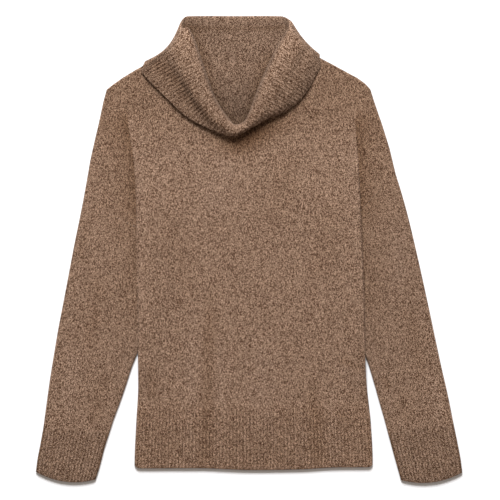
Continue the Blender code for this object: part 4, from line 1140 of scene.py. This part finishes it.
def knit_material(name, tones_and_shade):
    """Marl yarn knitted in columns of V stitches, counted along the piece's own UVs.

    Its second argument gives the yarn's brightness at places along the courses, with smooth steps between
    them; for the inside of the neck and for the collar these steps are painted shade. The gaps between the
    stitches get painted shade as well.
    """
    g = Graph(name)
    uv = g.tree.nodes.new("ShaderNodeUVMap")
    uv.uv_map = "knit"
    place = uv.outputs[0]
    split = g.node("ShaderNodeSeparateXYZ", Vector=place)
    across = g.math("DIVIDE", split.outputs[0], WALE)
    in_column = g.math("SUBTRACT", across, g.math("FLOOR", across))
    leg = g.math("ABSOLUTE", g.math("SUBTRACT", in_column, 0.5))
    slant = g.math("MULTIPLY", leg, STITCH_SLANT)
    course = g.math("ADD", g.math("DIVIDE", split.outputs[1], COURSE), slant)
    in_row = g.math("SUBTRACT", course, g.math("FLOOR", course))
    leg_form = g.math("POWER", g.math("SINE", g.math("MULTIPLY", leg, 2.0 * np.pi)), LEG_ROUNDNESS)
    row_form = g.math("POWER", g.math("SINE", g.math("MULTIPLY", in_row, np.pi)), ROW_ROUNDNESS)
    form = g.math("MULTIPLY", leg_form, row_form)

    ply = g.math("FLOOR", g.math("MULTIPLY", across, FLECKS_ACROSS))
    short = g.math("FLOOR", g.math("MULTIPLY", course, FLECKS_ALONG))
    cell = g.node("ShaderNodeCombineXYZ", X=ply, Y=short).outputs[0]
    fleck = g.node("ShaderNodeTexWhiteNoise", Vector=cell).outputs[0]
    colour = g.mix(g.ramp(fleck, *FLECK_RANGE), YARN_DARK, YARN_LIGHT)
    # Painted shade along the courses for the inside of the neck and the collar; one even tone for the other
    # pieces.
    tone_and_shade = tones_and_shade[0][1]
    for (low, low_tone), (high, high_tone) in zip(tones_and_shade[:-1], tones_and_shade[1:]):
        tone_and_shade = g.math("MULTIPLY", g.ramp(split.outputs[1], low, high, 1.0, high_tone / low_tone), tone_and_shade)
    broad = g.ramp(g.noise(place, *BROAD_NOISE), *BROAD_TONES)
    factor = g.math("MULTIPLY", g.math("MULTIPLY", g.ramp(form, *STITCH_GAP_SHADE), broad), tone_and_shade)

    attribute = g.tree.nodes.new("ShaderNodeAttribute")
    attribute.attribute_name = "shade"
    shade = attribute.outputs["Fac"]
    red = g.math("MULTIPLY", factor, shade)
    green = g.math("MULTIPLY", red, g.math("POWER", shade, SHADE_WARMTH_GREEN))
    blue = g.math("MULTIPLY", red, g.math("POWER", shade, SHADE_WARMTH_BLUE))
    tint = g.node("ShaderNodeCombineXYZ", X=red, Y=green, Z=blue).outputs[0]
    g.put(g.shader.inputs["Base Color"], g.calculated("ShaderNodeVectorMath", "MULTIPLY", colour, tint))

    fuzz = g.math("MULTIPLY_ADD", g.noise(place, *FUZZ_NOISE), FUZZ_SHARE, form)
    bump = g.node("ShaderNodeBump", Height=fuzz, Strength=1.0, Distance=STITCH_DEPTH * MM)
    g.put(g.shader.inputs["Normal"], bump.outputs[0])
    for name, value in SURFACE.items():
        g.shader.inputs[name].default_value = value
    g.material.diffuse_color = YARN_MIDDLE
    return g.material


def dress(piece, node, material):
    """The piece stands for its node and wears this material."""
    piece.data.materials.append(material)
    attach(piece, "root")
    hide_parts(node)


def build_cloth():
    """All the pieces of cloth, each in place of its solid."""
    # The inside and collar materials carry painted shade along their courses, and the shade attribute on
    # the pieces is painted shade and light.
    body, inside, rib, cuff, turned = (knit_material(name, tones_and_shade) for name, tones_and_shade in TONES_AND_PAINTED_SHADE.items())

    front = build_front()
    dress(front, "front", body)
    back = build_back()
    dress(back, "back", inside)
    hem_front = build_hem_front()
    dress(hem_front, "hem_front", rib)
    hem_back = build_hem_back()
    dress(hem_back, "hem_back", rib)
    for side in ("left", "right"):
        sleeve = build_tube("sleeve_" + side + "_cloth", SLEEVES[side], SLEEVE_ROWS, SLEEVE_TOP_COLUMNS)
        dress(sleeve, "sleeve_" + side, body)
        name = "cuff_" + side + "_cloth"
        cuff_piece = build_tube(name, CUFFS[side], CUFF_ROWS, CUFF_TOP_COLUMNS, CUFF_RIBS)
        dress(cuff_piece, "cuff_" + side, cuff)
    collar = build_collar()
    dress(collar, "collar", turned)


# The view straight down, 775 mm of the surface across the picture
CAMERA_PLACE = (1.55, 0.0, 5000.0)
VIEW_WIDTH = 775.0
SENSOR = 36.0

# The floor and the light, in metres
FLOOR_SIZE = 8.0
FLOOR_DROP = 0.0002
FLOOR_COLOUR = (0.93, 0.95, 0.98, 1.0)
FLOOR_ROUGHNESS = 0.9
KEY_PLACE = (-0.35, 3.3, 2.95)
KEY_SIZE = 1.9
KEY_POWER = 325.0
SKY_COLOUR = (1.0, 0.87, 0.76, 1.0)
SKY_STRENGTH = 0.33


def add_floor():
    """The pale surface that the sweater lies on."""
    half = FLOOR_SIZE / 2
    data = bpy.data.meshes.new("floor")
    corners = [(-half, -half, 0), (half, -half, 0), (half, half, 0), (-half, half, 0)]
    data.from_pydata(corners, [], [(0, 1, 2, 3)])
    floor = add("floor", data, (0.0, 0.0, -FLOOR_DROP))
    material = bpy.data.materials.new("pale_floor")
    material.use_nodes = True
    shader = material.node_tree.nodes["Principled BSDF"]
    shader.inputs["Base Color"].default_value = FLOOR_COLOUR
    shader.inputs["Roughness"].default_value = FLOOR_ROUGHNESS
    data.materials.append(material)


def add_camera():
    """The view from straight above."""
    data = bpy.data.cameras.new("camera")
    data.sensor_width = SENSOR
    data.lens = SENSOR * CAMERA_PLACE[2] / VIEW_WIDTH
    bpy.context.scene.camera = add("camera", data, np.array(CAMERA_PLACE) * MM)


def add_lights():
    """One large soft light beyond the collar, facing the sweater's middle, and a dim warm sky."""
    data = bpy.data.lights.new("key", "AREA")
    data.size = KEY_SIZE
    data.energy = KEY_POWER
    light = add("key", data, KEY_PLACE)
    light.rotation_euler = (-light.location).to_track_quat("-Z", "Y").to_euler()
    world = bpy.data.worlds.new("studio")
    world.use_nodes = True
    background = world.node_tree.nodes["Background"]
    background.inputs["Color"].default_value = SKY_COLOUR
    background.inputs["Strength"].default_value = SKY_STRENGTH
    bpy.context.scene.world = world
    bpy.context.scene.view_settings.view_transform = "Standard"


add_camera()
add_floor()
add_lights()
build_cloth()
